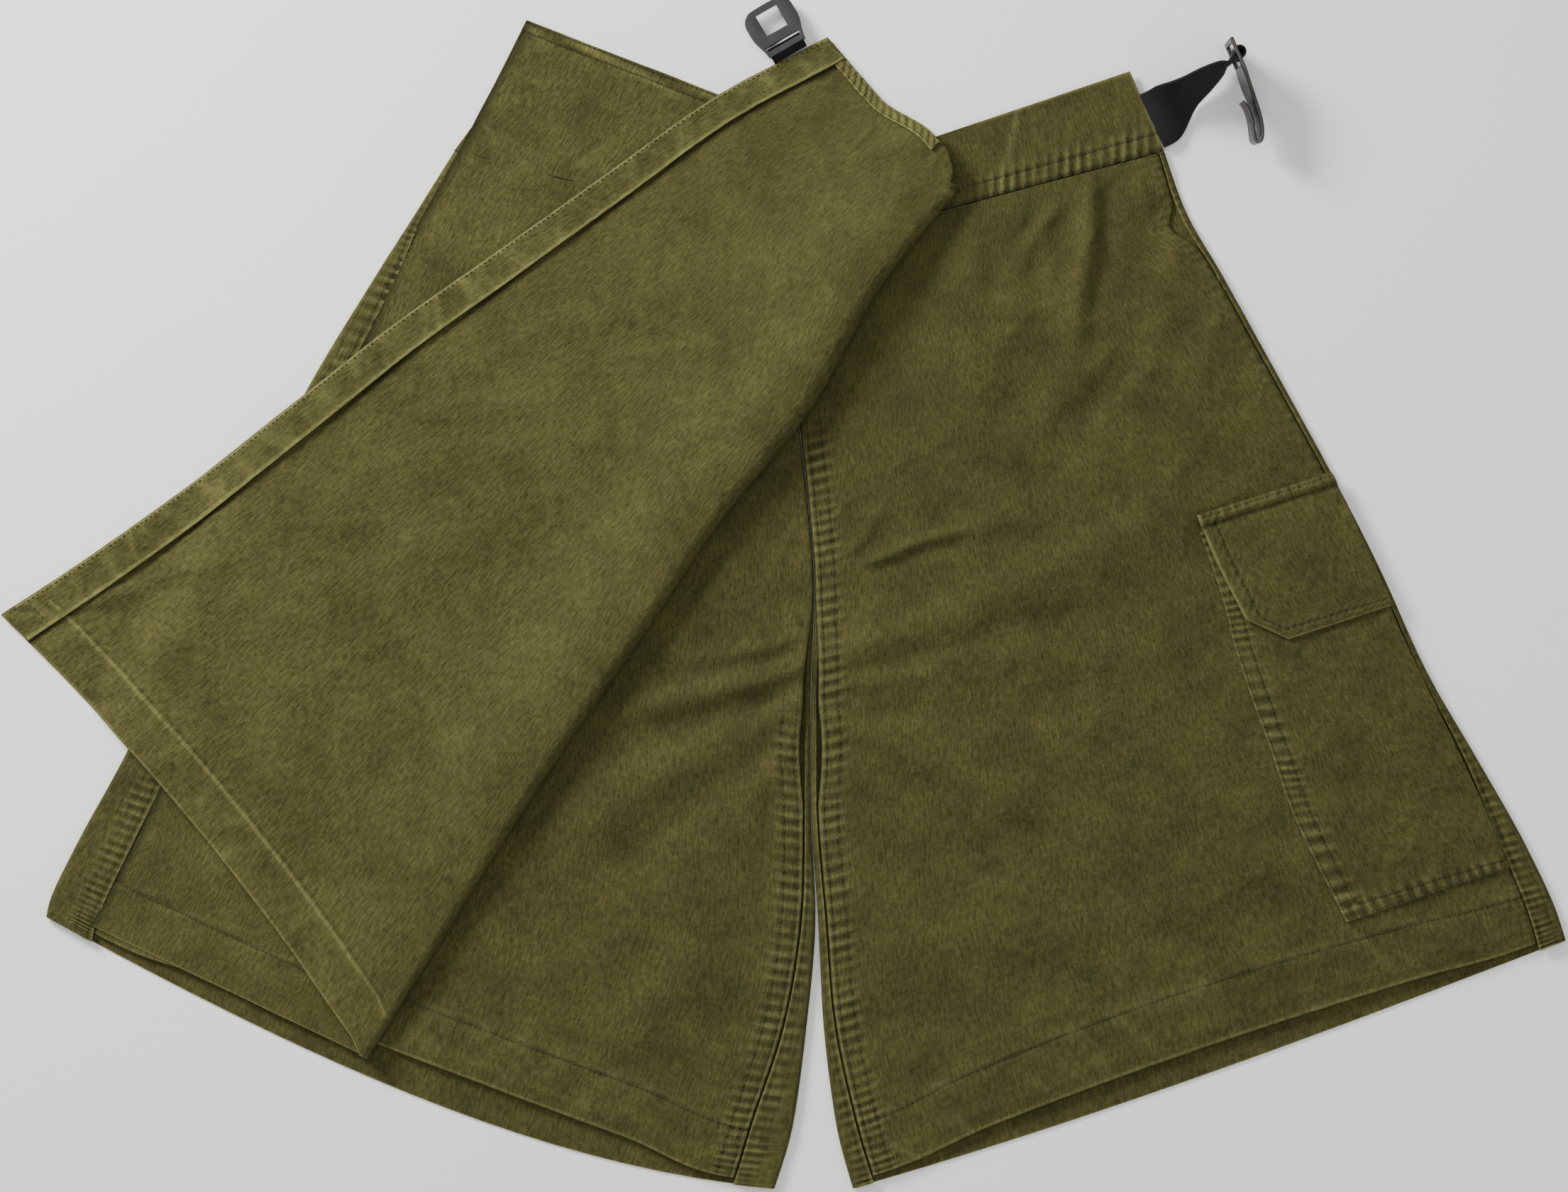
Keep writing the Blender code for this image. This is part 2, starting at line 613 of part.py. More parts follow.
def tab():
    # Moulded plate: a bar inside the webbing loop, a slot beyond it and a square hole
    base, aim, across = tab_frame()
    bar = base + aim * TAB_BAR_OUT + Vector((0, 0, TAB_BAR_Z))
    down = Vector((0, 0, -1))
    rows = (TAB_BACK, TAB_BAR_FAR, TAB_SLOT_FAR, TAB_HOLE_NEAR, TAB_HOLE_FAR, TAB_END)
    columns = (-TAB_HALF, -TAB_SLOT_HALF, -TAB_HOLE_HALF, TAB_HOLE_HALF, TAB_SLOT_HALF, TAB_HALF)
    upper, lower = [], []
    for i, out in enumerate(rows):
        outside, inside = [], []
        for j, wide in enumerate(columns):
            edge = j in (0, len(columns) - 1)
            wide_here = wide * (0.9 if edge and i < 2 else 1.0)
            reach = out - TAB_BAR_OUT
            if i == len(rows) - 1:
                round_off = TAB_ROUND_END[min(j, len(columns) - 1 - j)]
                wide_here *= round_off[0]
                reach -= round_off[1]
            tilt = radians(TAB_TILT)
            middle = bar + aim * reach * cos(tilt) + down * reach * sin(tilt) + across * wide_here
            normal = Vector((0, 0, 1)) * cos(tilt) + aim * sin(tilt)
            outside.append(middle + normal * TAB_THICK / 2)
            inside.append(middle - normal * TAB_THICK / 2)
        upper.append(outside)
        lower.append(inside)
    gaps = [(1, j) for j in (1, 2, 3)] + [(3, 2)]
    piece = finish(wall("tab", upper, lower, gaps), "2b2b2e", 0.45)
    set_origin(piece, bar)
    return piece


def tab_webbing():
    # A short loop of webbing from the corner of the free edge round the tab's bar
    base, aim, across = tab_frame()
    path = [(0.3, 1.0, 0, -1), (2.6, 1.0, 0, -1)]
    for degrees in spread(-90, 90, 6):
        a, z = cos(radians(degrees)), sin(radians(degrees))
        path.append((TAB_BAR_OUT + a * TAB_LOOP_RADIUS, TAB_BAR_Z + z * TAB_LOOP_RADIUS, a, z))
    path += [(2.4, 6.2, -0.5, 0.87), (0.3, 3.4, -0.6, 0.8)]
    upper, lower = [], []
    for out, z, face_out, face_z in path:
        outside, inside = [], []
        for w in spread(-0.5, 0.5, 3):
            middle = base + aim * out + Vector((0, 0, z)) + across * TAB_WEBBING_WIDE * w
            normal = aim * face_out + Vector((0, 0, face_z))
            outside.append(middle + normal * TAB_WEBBING / 2)
            inside.append(middle - normal * TAB_WEBBING / 2)
        upper.append(outside)
        lower.append(inside)
    return finish(wall("tab_webbing", upper, lower), "222226", 0.85)


for old in list(bpy.data.objects):
    bpy.data.objects.remove(old, do_unlink=True)

back("back_left", LEFT_LEG)
back("back_right", RIGHT_LEG)
waistband("waistband_back", 0.0, 1.8, 4.0)
front("front_left", LEFT_LEG)
front("front_right", RIGHT_LEG)
waistband("waistband_front", BAND_LEVEL, DOUBLE_CLOTH, 0.0)
wrap_panel()
wrap_facing()
wrap_waist_facing()
patch("pocket_bag", POCKET, 10, 7, SEAM_GAP, CLOTH)
patch("pocket_flap", FLAP, 6, 7, 2 * SEAM_GAP + CLOTH, DOUBLE_CLOTH)
strap()
hook()
tab_webbing()
tab()
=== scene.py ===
from collections import namedtuple
from math import cos, hypot, pi, radians, sin

import bmesh
import bpy
import numpy as np
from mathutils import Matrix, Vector


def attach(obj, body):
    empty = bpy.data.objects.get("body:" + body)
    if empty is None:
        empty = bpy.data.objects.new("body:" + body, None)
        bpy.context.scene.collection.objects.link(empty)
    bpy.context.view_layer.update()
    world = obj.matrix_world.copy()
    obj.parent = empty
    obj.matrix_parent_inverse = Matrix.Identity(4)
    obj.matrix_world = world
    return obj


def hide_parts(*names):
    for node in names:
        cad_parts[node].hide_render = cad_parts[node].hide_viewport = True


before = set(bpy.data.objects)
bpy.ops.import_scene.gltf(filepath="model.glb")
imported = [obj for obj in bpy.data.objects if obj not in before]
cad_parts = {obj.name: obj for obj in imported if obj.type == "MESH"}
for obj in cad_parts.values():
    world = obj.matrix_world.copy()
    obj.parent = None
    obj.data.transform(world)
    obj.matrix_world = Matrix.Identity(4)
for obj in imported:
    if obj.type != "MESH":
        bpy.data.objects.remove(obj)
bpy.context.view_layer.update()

# Shorts' back: two canvas panels flat on the table. Their side and inseam edges are turned up and
# over onto the front, where they are felled to it. Only those strips and the back hems show.
MM = 0.001
CLOTH = 1.2
SEAM_GAP = 0.3
FRONT_LEVEL = 3.0
Leg = namedtuple("Leg", "inner_x inner_y side_x side_y bow inner_turn inner_level side_turn")
RIGHT_LEG = [
    Leg(17.5, 192, 209, 243, 0, 3.0, 0, 3.0),
    Leg(13, 150, 222, 208, 0, 3.0, 0, 4.0),
    Leg(8, 108, 241, 175, 0, 3.0, 0, 3.0),
    Leg(13, 56, 271, 121, 0, 3.0, 0, 3.0),
    Leg(17, 4, 300, 68, 0, 3.0, 0, 3.0),
    Leg(15, -58, 327, 15, 0, 3.0, 0, 3.0),
    Leg(15, -118, 353, -42, 0, 3.0, 1, 3.5),
    Leg(19, -180, 380, -89, 1, 4.0, 1, 6.5),
    Leg(22, -238, 404, -131, 2, 6.0, 1, 12.5),
    Leg(29, -292, 422, -168, 3, 10.5, 1, 15.0),
    Leg(38, -326.3, 429.5, -190, -5, 12.0, 1, 15.5),
]
LEFT_LEG = [
    Leg(17.2, 192, -181, 243, 0, 3.0, 0, 3.0),
    Leg(12.7, 150, -203, 208, 0, 3.0, 0, 5.0),
    Leg(7.7, 108, -224, 175, 0, 3.0, 0, 11.0),
    Leg(12.7, 56, -257, 121, 0, 3.0, 0, 16.0),
    Leg(16.7, 4, -285, 68, 0, 3.0, 0, 17.0),
    Leg(14.7, -58, -311, 13, -2, 3.0, 0, 18.0),
    Leg(14.7, -118, -339, -42, -5, 3.0, 1, 22.0),
    Leg(17.4, -180, -363, -91, -9, 7.5, 1, 25.0),
    Leg(12.5, -238, -385, -131, -14, 12.5, 1, 27.0),
    Leg(5, -292, -401, -163, -19, 23.0, 1, 27.0),
    Leg(-5, -326.3, -405, -177, -23, 24.0, 1, 27.0),
]
Wrap = namedtuple("Wrap", "seam_x seam_y fold_x fold_y edge_x edge_y roll")
WRAP = [
    Wrap(-141, 315, 96, 223, 24, 306, 8),
    Wrap(-174, 251, 52, 168, -40, 271, 13),
    Wrap(-208, 189, 13, 100, -98, 230, 14),
    Wrap(-237, 123, -34, 42, -157, 188, 12),
    Wrap(-267, 59, -77, -21, -215, 147, 11),
    Wrap(-297, -7, -120, -83, -272, 102, 10),
    Wrap(-327, -72, -161, -146, -329, 58, 8),
    Wrap(-354, -132, -198, -205, -384, 19, 6),
    Wrap(-380, -182, -229, -254, -429.5, -11, 4),
]
Fold = namedtuple("Fold", "x0 y0 x1 y1 height width")
SHORTS_FOLDS = [
    Fold(146, 205, 112, 160, 1.4, 8),
    Fold(168, 208, 166, 146, 1.6, 9),
    Fold(186, 196, 209, 184, 1.6, 10),
    Fold(192, 134, 143, 66, 2.0, 16),
    Fold(50, 170, 34, 70, 1.6, 20),
    Fold(50, 19, 121, 38, 1.0, 7),
    Fold(32, -42, 205, 28, 2.2, 15),
    Fold(40, -70, 154, -100, 1.6, 14),
    Fold(22, -95, 70, -205, 1.4, 14),
    Fold(8, -38, -72, -58, 1.8, 10),
    Fold(6, -72, -100, -126, 2.0, 13),
    Fold(-6, -110, -62, -240, 1.6, 16),
    Fold(2, 60, -22, 20, 1.2, 9),
]
# Smaller creases: gathers under the band, drag lines from the crotch, hollows at the hip
FRONT_CREASES = [
    Fold(112, 211, 129, 205, 1.0, 4),
    Fold(135, 200, 112, 169, -1.8, 6),
    Fold(145, 206, 122, 182, 1.6, 5),
    Fold(145, 192, 157, 132, 1.4, 8),
    Fold(167, 217, 164, 149, 2.6, 6),
    Fold(176, 214, 174, 160, -2.2, 7),
    Fold(186, 204, 206, 200, -2.4, 11),
    Fold(216, 216, 178, 150, -1.8, 12),
    Fold(196, 222, 203, 196, 1.4, 5),
    Fold(212, 196, 226, 170, 1.4, 8),
    Fold(193, 143, 180, 110, -1.8, 8),
    Fold(192, 132, 142, 66, -3.0, 12),
    Fold(206, 138, 168, 76, 1.6, 12),
    Fold(178, 128, 132, 84, 1.2, 9),
    Fold(152, 150, 138, 112, -0.9, 10),
    Fold(104, 190, 88, 120, 1.6, 13),
    Fold(74, 170, 52, 96, -1.5, 14),
    Fold(120, 140, 96, 84, 1.2, 14),
    Fold(236, 140, 214, 84, 1.4, 14),
    Fold(252, 110, 262, 84, -1.0, 9),
    Fold(50, 19, 88, 30, 1.5, 3),
    Fold(52, 14, 96, 26, -1.1, 4),
    Fold(88, 30, 121, 38, 0.9, 5),
    Fold(40, 28, 51, 42, 1.4, 4),
    Fold(60, 60, 80, 50, 0.9, 6),
    Fold(34, -30, 226, 50, 1.8, 10),
    Fold(44, -42, 210, 8, -2.0, 11),
    Fold(36, -50, 140, -34, 1.5, 7),
    Fold(52, -66, 175, -58, -1.5, 10),
    Fold(36, -72, 122, -112, 1.9, 8),
    Fold(44, -92, 110, -150, -1.3, 11),
    Fold(30, -86, 62, -190, 1.4, 9),
    Fold(134, -33, 130, -44, -1.2, 3),
    Fold(135, -63, 154, -95, 1.0, 8),
    Fold(150, -5, 225, 2, 0.9, 11),
    Fold(120, -110, 240, -160, 1.2, 18),
    Fold(70, -140, 130, -240, 1.1, 20),
    Fold(160, -180, 330, -140, 1.0, 18),
    Fold(60, -250, 210, -232, 0.9, 15),
    Fold(250, -200, 330, -178, 0.9, 14),
    Fold(-2, -26, -46, -34, 1.4, 5),
    Fold(0, -34, -66, -48, -1.5, 6),
    Fold(2, -44, -86, -66, 1.9, 6),
    Fold(0, -56, -84, -84, -1.8, 7),
    Fold(2, -62, -100, -112, 2.0, 9),
    Fold(-4, -80, -90, -142, -1.6, 10),
    Fold(0, -84, -56, -170, 1.4, 9),
    Fold(-8, -120, -30, -232, -1.1, 12),
    Fold(-40, -130, -120, -220, 1.2, 16),
    Fold(-90, -180, -160, -226, -1.0, 14),
    Fold(-70, -220, -130, -262, 1.0, 12),
    Fold(-2, -8, -18, 26, -1.3, 5),
    Fold(4, 30, -4, 2, 0.9, 4),
    Fold(-30, 10, -58, -20, 1.0, 9),
]
BACK_WALL = 1.1


def ease(t):
    t = np.clip(t, 0.0, 1.0)
    return t * t * (3 - 2 * t)


def bell(distance, width):
    return np.exp(-(distance / width) ** 2)


def read(rows, v):
    # A smooth curve through each column of a table, at v from 0 on the first row to 1 on the last
    table = np.array(rows, float)
    place = np.clip(v, 0.0, 1.0) * (len(rows) - 1)
    i = np.minimum(place.astype(int), len(rows) - 2)
    t = (place - i)[..., None]
    a, b, c, d = (table[np.clip(i + k, 0, len(rows) - 1)] for k in (-1, 0, 1, 2))
    curve = (2 * b + (c - a) * t + (2 * a - 5 * b + 4 * c - d) * t ** 2 + (3 * b - a - 3 * c + d) * t ** 3) / 2
    low = np.minimum(np.minimum(a, b), np.minimum(c, d))
    high = np.maximum(np.maximum(a, b), np.maximum(c, d))
    curve = np.clip(curve, low, high)
    return type(rows[0])(*np.moveaxis(curve, -1, 0))


def folds_height(folds, x, y):
    # Each fold is narrow where it starts and wider where it ends, and none is quite straight
    sway_x, sway_y = 2.4 * unevenness(x, y, 50, 120, 11), 2.4 * unevenness(x, y, 50, 120, 12)
    x, y = x + sway_x, y + sway_y
    total = np.zeros_like(x)
    for f in folds:
        along_x, along_y = f.x1 - f.x0, f.y1 - f.y0
        length = hypot(along_x, along_y)
        t = ((x - f.x0) * along_x + (y - f.y0) * along_y) / length ** 2
        off = ((x - f.x0) * along_y - (y - f.y0) * along_x) / length
        width = f.width * (0.65 + 0.7 * np.clip(t, 0, 1))
        beyond = np.maximum(np.maximum(-t, t - 1), 0.0) * length
        total += f.height * np.exp(-(off / width) ** 2 - (beyond / (1.6 * f.width)) ** 2)
    return total


def unevenness(x, y, shortest, longest, seed):
    # A smooth field of about -1 to 1, of waves between two lengths in millimetres
    draw = np.random.default_rng(seed)
    total = np.zeros_like(x)
    count = 16
    for _ in range(count):
        length = draw.uniform(shortest, longest)
        turn = draw.uniform(0, 2 * pi)
        total += np.sin((x * cos(turn) + y * sin(turn)) * 2 * pi / length + draw.uniform(0, 2 * pi))
    return total / count ** 0.5 / 1.4


def crumple(x, y, shortest, longest, seed):
    # Thin soft lines that wander over washed cloth, 0 to 1
    return (1 - np.minimum(np.abs(unevenness(x, y, shortest, longest, seed)) * 1.6, 1.0)) ** 3


def pucker(along, pitch, seed):
    # Uneven ripples along a seam, -1 to 1
    draw = np.random.default_rng(seed)
    phase = sum(draw.uniform(0.4, 1.1) * np.sin(along / draw.uniform(9, 60) + draw.uniform(0, 6)) for _ in range(4))
    return np.sin(along * 2 * pi / pitch + phase)


def seam_rows(distance, along, rows, pitch, seed):
    # Rows of stitches and the puckers they pull up: height, how rubbed, and painted shade in the pucker troughs and
    # stitch grooves
    ripple = pucker(along, pitch, seed) * (0.75 + 0.25 * pucker(along, 37, seed + 1))
    outside = np.maximum(np.maximum(rows[0] - distance, distance - rows[-1]), 0.0)
    reach = bell(outside, 4.5)
    between_rows = bell(outside, 1.0)
    groove = sum(bell(distance - row, 0.8) for row in rows)
    height = reach * (0.3 + 0.5 * ripple) - 0.35 * groove
    rub = 0.34 * reach * np.clip(ripple, 0, 1)
    dark = 0.42 * between_rows * np.clip(-ripple, 0, 1) + 0.34 * groove
    return height, rub, dark


def cross_creases(along, across, length, spacing, seed):
    # Short uneven creases across a strip, across from 0 to 1
    draw = np.random.default_rng(seed)
    total, place = np.zeros_like(along), draw.uniform(2, spacing)
    while place < length:
        tall = draw.uniform(0.35, 1.0) * draw.choice([-1, 1])
        slant, wide = draw.uniform(-13, 13), draw.uniform(1.4, 4.0)
        middle, reach = draw.uniform(0.1, 0.9), draw.uniform(0.3, 0.8)
        total += tall * bell(along - place - slant * (across - 0.5), wide) * bell(across - middle, reach)
        place += draw.uniform(0.45, 1.6) * spacing
    return total


def line_at(rows, x_name, y_name, y):
    xs = [getattr(r, x_name) for r in rows][::-1]
    ys = [getattr(r, y_name) for r in rows][::-1]
    return np.interp(y, ys, xs)


def uncovered(x, y):
    # From 0 where the wrap covers the shorts' front to 1 where the front shows
    shows = ease((x - line_at(WRAP, "fold_x", "fold_y", y) - 2) / 22)
    return np.where(y > WRAP[-1].fold_y, shows, 1.0)


def front_height(x, y):
    # Underside of the shorts' front, with its folds and smaller creases
    relief = folds_height(SHORTS_FOLDS, x, y) + folds_height(FRONT_CREASES, x, y)
    relief = relief + 0.45 * unevenness(x, y, 34, 90, 3) + 0.16 * unevenness(x, y, 12, 26, 4)
    relief = relief + 0.5 * crumple(x, y, 30, 90, 5) + 0.25 * crumple(x, y, 12, 34, 6)
    return FRONT_LEVEL + uncovered(x, y) * np.maximum(relief, -1.5)


def leg_point(leg, v, across):
    row = read(leg, v)
    dx, dy = row.side_x - row.inner_x, row.side_y - row.inner_y
    u = across / np.hypot(dx, dy)
    bow = 4 * row.bow * u * (1 - u) * (1.25 - 0.5 * u)
    return row.inner_x + dx * u, row.inner_y + dy * u + bow


def leg_width(leg, v):
    row = read(leg, v)
    return np.hypot(row.side_x - row.inner_x, row.side_y - row.inner_y)


def linear(hex_colour):
    channels = [int(hex_colour[i:i + 2], 16) / 255 for i in (0, 2, 4)]
    return (*[c / 12.92 if c <= 0.04045 else ((c + 0.055) / 1.055) ** 2.4 for c in channels], 1)


def add(tree, kind, inputs=(), **settings):
    # One node with its settings; inputs holds (socket, value or another node's output)
    item = tree.nodes.new(kind)
    for key, value in settings.items():
        setattr(item, key, value)
    for socket, value in inputs:
        if isinstance(value, bpy.types.NodeSocket):
            tree.links.new(value, item.inputs[socket])
        else:
            item.inputs[socket].default_value = value
    return item


def new_material(name):
    material = bpy.data.materials.new(name)
    material.use_nodes = True
    tree = material.node_tree
    return material, tree, tree.nodes["Principled BSDF"]


def olive_canvas(name, base, light, dark, worn):
    # Cotton canvas, garment-dyed and washed: matt, finely flecked, paler where seams and edges rub, with painted
    # shade in its creases, grooves and seam hollows.
    # The real threads are 0.5 mm apart; they are drawn 1.1 mm apart so that they show.
    material, tree, shader = new_material(name)
    uv = add(tree, "ShaderNodeUVMap", uv_map="cloth").outputs["UV"]
    place = add(tree, "ShaderNodeTexCoord").outputs["Object"]
    clouds = add(tree, "ShaderNodeTexNoise", [("Vector", place), ("Scale", 34.0), ("Detail", 5.0),
                                              ("Roughness", 0.7)]).outputs["Fac"]
    specks = add(tree, "ShaderNodeTexNoise", [("Vector", uv), ("Scale", 420.0), ("Detail", 3.0),
                                              ("Roughness", 0.75)]).outputs["Fac"]
    slub = add(tree, "ShaderNodeMapping", [("Vector", uv), ("Scale", (900.0, 150.0, 1.0))]).outputs["Vector"]
    streaks = add(tree, "ShaderNodeTexNoise", [("Vector", slub), ("Scale", 1.0), ("Detail", 2.0)]).outputs["Fac"]
    spread_clouds = add(tree, "ShaderNodeMapRange", [("Value", clouds), ("From Min", 0.34), ("From Max", 0.66)])
    tone = add(tree, "ShaderNodeMix", [("Factor", spread_clouds.outputs["Result"]), ("A", linear(dark)),
                                       ("B", linear(light))], data_type="RGBA")
    half = add(tree, "ShaderNodeMix", [("Factor", 0.5), ("A", linear(base)), ("B", tone.outputs["Result"])],
               data_type="RGBA")
    grain = add(tree, "ShaderNodeMath", [(0, specks), (1, streaks)], operation="ADD").outputs[0]
    grain_range = add(tree, "ShaderNodeMapRange", [("Value", grain), ("From Min", 0.7), ("From Max", 1.3),
                                                   ("To Min", 0.62), ("To Max", 1.42)]).outputs["Result"]
    grainy = add(tree, "ShaderNodeMix", [("Factor", 1.0), ("A", half.outputs["Result"]), ("B", grain_range)],
                 data_type="RGBA", blend_type="MULTIPLY")
    wear = add(tree, "ShaderNodeAttribute", attribute_name="wear").outputs["Fac"]
    rubbed = add(tree, "ShaderNodeMath", [(0, wear), (1, grain_range)], operation="MULTIPLY", use_clamp=True)
    paler = add(tree, "ShaderNodeMix", [("Factor", rubbed.outputs[0]), ("A", grainy.outputs["Result"]),
                                        ("B", linear(worn))], data_type="RGBA")
    # Painted shade: the attribute read here mixes the colour toward near black in pucker troughs, stitch grooves,
    # crease hollows and beside seam ridges and edges.
    painted_shade = add(tree, "ShaderNodeAttribute", attribute_name="painted_shade").outputs["Fac"]
    colour = add(tree, "ShaderNodeMix", [("Factor", painted_shade), ("A", paler.outputs["Result"]),
                                         ("B", linear("0e0e06"))], data_type="RGBA")
    tree.links.new(colour.outputs["Result"], shader.inputs["Base Color"])
    warp = add(tree, "ShaderNodeTexWave", [("Vector", uv), ("Scale", 286.0), ("Distortion", 0.6)],
               bands_direction="X").outputs["Fac"]
    weft = add(tree, "ShaderNodeTexWave", [("Vector", uv), ("Scale", 286.0), ("Distortion", 0.6)],
               bands_direction="Y").outputs["Fac"]
    threads = add(tree, "ShaderNodeMath", [(0, warp), (1, weft)], operation="MULTIPLY").outputs[0]
    weave = add(tree, "ShaderNodeBump", [("Height", threads), ("Strength", 0.3), ("Distance", 0.0003)])
    nap = add(tree, "ShaderNodeBump", [("Height", grain), ("Strength", 0.6), ("Distance", 0.0008),
                                       ("Normal", weave.outputs["Normal"])])
    tree.links.new(nap.outputs["Normal"], shader.inputs["Normal"])
    shader.inputs["Roughness"].default_value = 0.92
    shader.inputs["Specular IOR Level"].default_value = 0.14
    shader.inputs["Sheen Weight"].default_value = 0.05
    shader.inputs["Sheen Roughness"].default_value = 0.6
    shader.inputs["Sheen Tint"].default_value = linear("9c9a62")
    return material


canvas = olive_canvas("washed_olive_canvas", "424121", "4f4d28", "31301a", "7c7a4b")
inner_canvas = olive_canvas("washed_olive_canvas_inside", "474624", "52502b", "37361c", "7f7d4a")


def cloth_grid(name, place, u_stations, v_stations, material, thick, flip=False, missing=None):
    # A sheet from a plain grid: place gives x, y, z in millimetres, how rubbed it is and its painted shade
    us, vs = np.array(u_stations, float), np.array(v_stations, float)
    grid = bmesh.new()
    bmesh.ops.create_grid(grid, x_segments=len(us) - 1, y_segments=len(vs) - 1, size=1)
    if missing:
        bmesh.ops.delete(grid, geom=[f for f in grid.faces if missing(f.calc_center_median())], context="FACES")
    if flip:
        bmesh.ops.reverse_faces(grid, faces=grid.faces)
    mesh = bpy.data.meshes.new(name)
    grid.to_mesh(mesh)
    grid.free()
    flat = np.empty(len(mesh.vertices) * 3)
    mesh.vertices.foreach_get("co", flat)
    flat = flat.reshape(-1, 3)
    i = np.rint((flat[:, 0] + 1) / 2 * (len(us) - 1)).astype(int)
    j = np.rint((flat[:, 1] + 1) / 2 * (len(vs) - 1)).astype(int)
    x, y, z, wear, painted_shade = place(us[i], vs[j])
    points = np.stack([x, y, z], axis=1) * MM
    mesh.vertices.foreach_set("co", points.ravel())
    whole_u, whole_v = np.meshgrid(us, vs)
    gx, gy, gz, _, _ = place(whole_u.ravel(), whole_v.ravel())
    net = np.stack([gx, gy, gz], axis=1).reshape(len(vs), len(us), 3) * MM
    step_u = np.linalg.norm(np.diff(net, axis=1), axis=2).mean(axis=0)
    step_v = np.linalg.norm(np.diff(net, axis=0), axis=2).mean(axis=1)
    run_u = np.concatenate([[0], np.cumsum(step_u)])
    run_v = np.concatenate([[0], np.cumsum(step_v)])
    corner = np.empty(len(mesh.loops), int)
    mesh.loops.foreach_get("vertex_index", corner)
    layer = mesh.uv_layers.new(name="cloth")
    layer.data.foreach_set("uv", np.stack([run_u[i][corner], run_v[j][corner]], axis=1).ravel())
    for label, values in (("wear", wear), ("painted_shade", painted_shade)):
        attribute = mesh.attributes.new(label, "FLOAT", "POINT")
        attribute.data.foreach_set("value", np.clip(values + np.zeros_like(x), 0, 1))
    mesh.shade_smooth()
    mesh.materials.append(material)
    piece = bpy.data.objects.new(name, mesh)
    bpy.context.scene.collection.objects.link(piece)
    wall = piece.modifiers.new("wall", "SOLIDIFY")
    wall.thickness = thick * MM
    wall.offset = -1
    edge = piece.modifiers.new("edge", "BEVEL")
    edge.width = min(0.3, thick * 0.28) * MM
    edge.segments = 2
    edge.limit_method = "ANGLE"
    edge.angle_limit = radians(65)
    return piece


STRIP_ROWS = (2.6, 10.2)


def back_place(leg, seed):
    def place(u, v):
        # u runs 0-1 along the inseam's turned strip, 1-2 round it, 2-3 underneath, 3-4 round, 4-5 the side strip
        row = read(leg, v)
        width = leg_width(leg, v)
        middle = CLOTH / 2
        side_x, side_y = leg_point(leg, v, width)
        inner_x, inner_y = leg_point(leg, v, np.zeros_like(v))
        side_top = front_height(side_x, side_y) + middle
        inner_low = CLOTH + SEAM_GAP + middle
        inner_top = inner_low + row.inner_level * (front_height(inner_x, inner_y) + middle - inner_low)
        inner_r, side_r = (inner_top - middle) / 2, (side_top - middle) / 2
        start, stop = inner_r + middle, width - side_r - middle
        turn_in = np.clip(u - 1, 0, 1) * pi + pi / 2
        turn_out = np.clip(u - 3, 0, 1) * pi - pi / 2
        strip_in = start + (row.inner_turn - start) * np.clip(1 - u, 0, 1)
        strip_out = stop + (width - row.side_turn - stop) * np.clip(u - 4, 0, 1)
        first, last = u < 2, u > 3
        across = np.where(first, np.where(u < 1, strip_in, start + (inner_r + middle) * np.cos(turn_in)),
                          start + (stop - start) * np.clip(u - 2, 0, 1))
        across = np.where(last, np.where(u > 4, strip_out, stop + (side_r + middle) * np.cos(turn_out)), across)
        z = np.where(first, middle + inner_r + (inner_r + middle) * np.sin(turn_in), 0.0)
        z = np.where(last, middle + side_r + (side_r + middle) * np.sin(turn_out), z)
        x, y = leg_point(leg, v, across)
        above = z > 2.4
        from_edge = np.where(first, row.inner_turn - across, across - width + row.side_turn)
        on_strip = np.clip(1.4 - u, 0, 1) * row.inner_level + np.clip(u - 3.6, 0, 1)
        sewn, rub, dark = seam_rows(from_edge, v * 560, STRIP_ROWS, 6.6, seed)
        z = z + np.where(above, on_strip * (sewn + 0.3 * unevenness(x, y, 14, 40, seed)), 0.0)
        z = z + np.where(above, 0.4 * ease((v - 0.953) / 0.003), 0.0)
        wear = on_strip * (rub + 0.4 * bell(from_edge, 0.8)) + 0.5 * bell(v - 1, 0.002)
        # The fifth value is painted shade in the strip's pucker troughs and stitch grooves.
        return x, y, z, wear, on_strip * dark
    return place


def span(*pieces):
    # Stations: each piece is (start, stop, number of steps), joined end to end
    parts = [np.linspace(a, b, n + 1)[(0 if k == 0 else 1):] for k, (a, b, n) in enumerate(pieces)]
    return np.concatenate(parts)


def settle(piece, node, body="root"):
    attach(piece, body)
    if node:
        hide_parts(node)
    return piece


BACK_U = span((0, 1, 12), (1, 2, 6), (2, 3, 20), (3, 4, 6), (4, 5, 18))
for label, leg, seed, flat, area in (("left", LEFT_LEG, 21, (0.47, 0.56), 0.195),
                                     ("right", RIGHT_LEG, 22, (0.45, 0.56), 0.182)):
    shell = cloth_grid("back_cloth_" + label, back_place(leg, seed), BACK_U, span((0, 1, 330)), canvas,
                       BACK_WALL, flip=(label == "left"))
    settle(shell, "back_" + label)

# Shorts' front: two canvas panels between the seams, with a hem turned up 28 mm. The centre seam and
# the inseams are felled and sewn twice, so a puckered ridge runs beside each; a slit is left at the side.
LEG_HEM = 28.0
HEM_STEP = 0.8
FRONT_SHORTER = 6.0
WAIST_GAP = 0.3
VENT_DEPTH = 7.0
VENT_Y = 204.0
VENT_REACH = 8.0
SEAM_ROWS = (3.4, 11.2)
SEAM_ZONE = 24.0
SIDE_ZONE = 12.0
LEG_RUN = 560.0


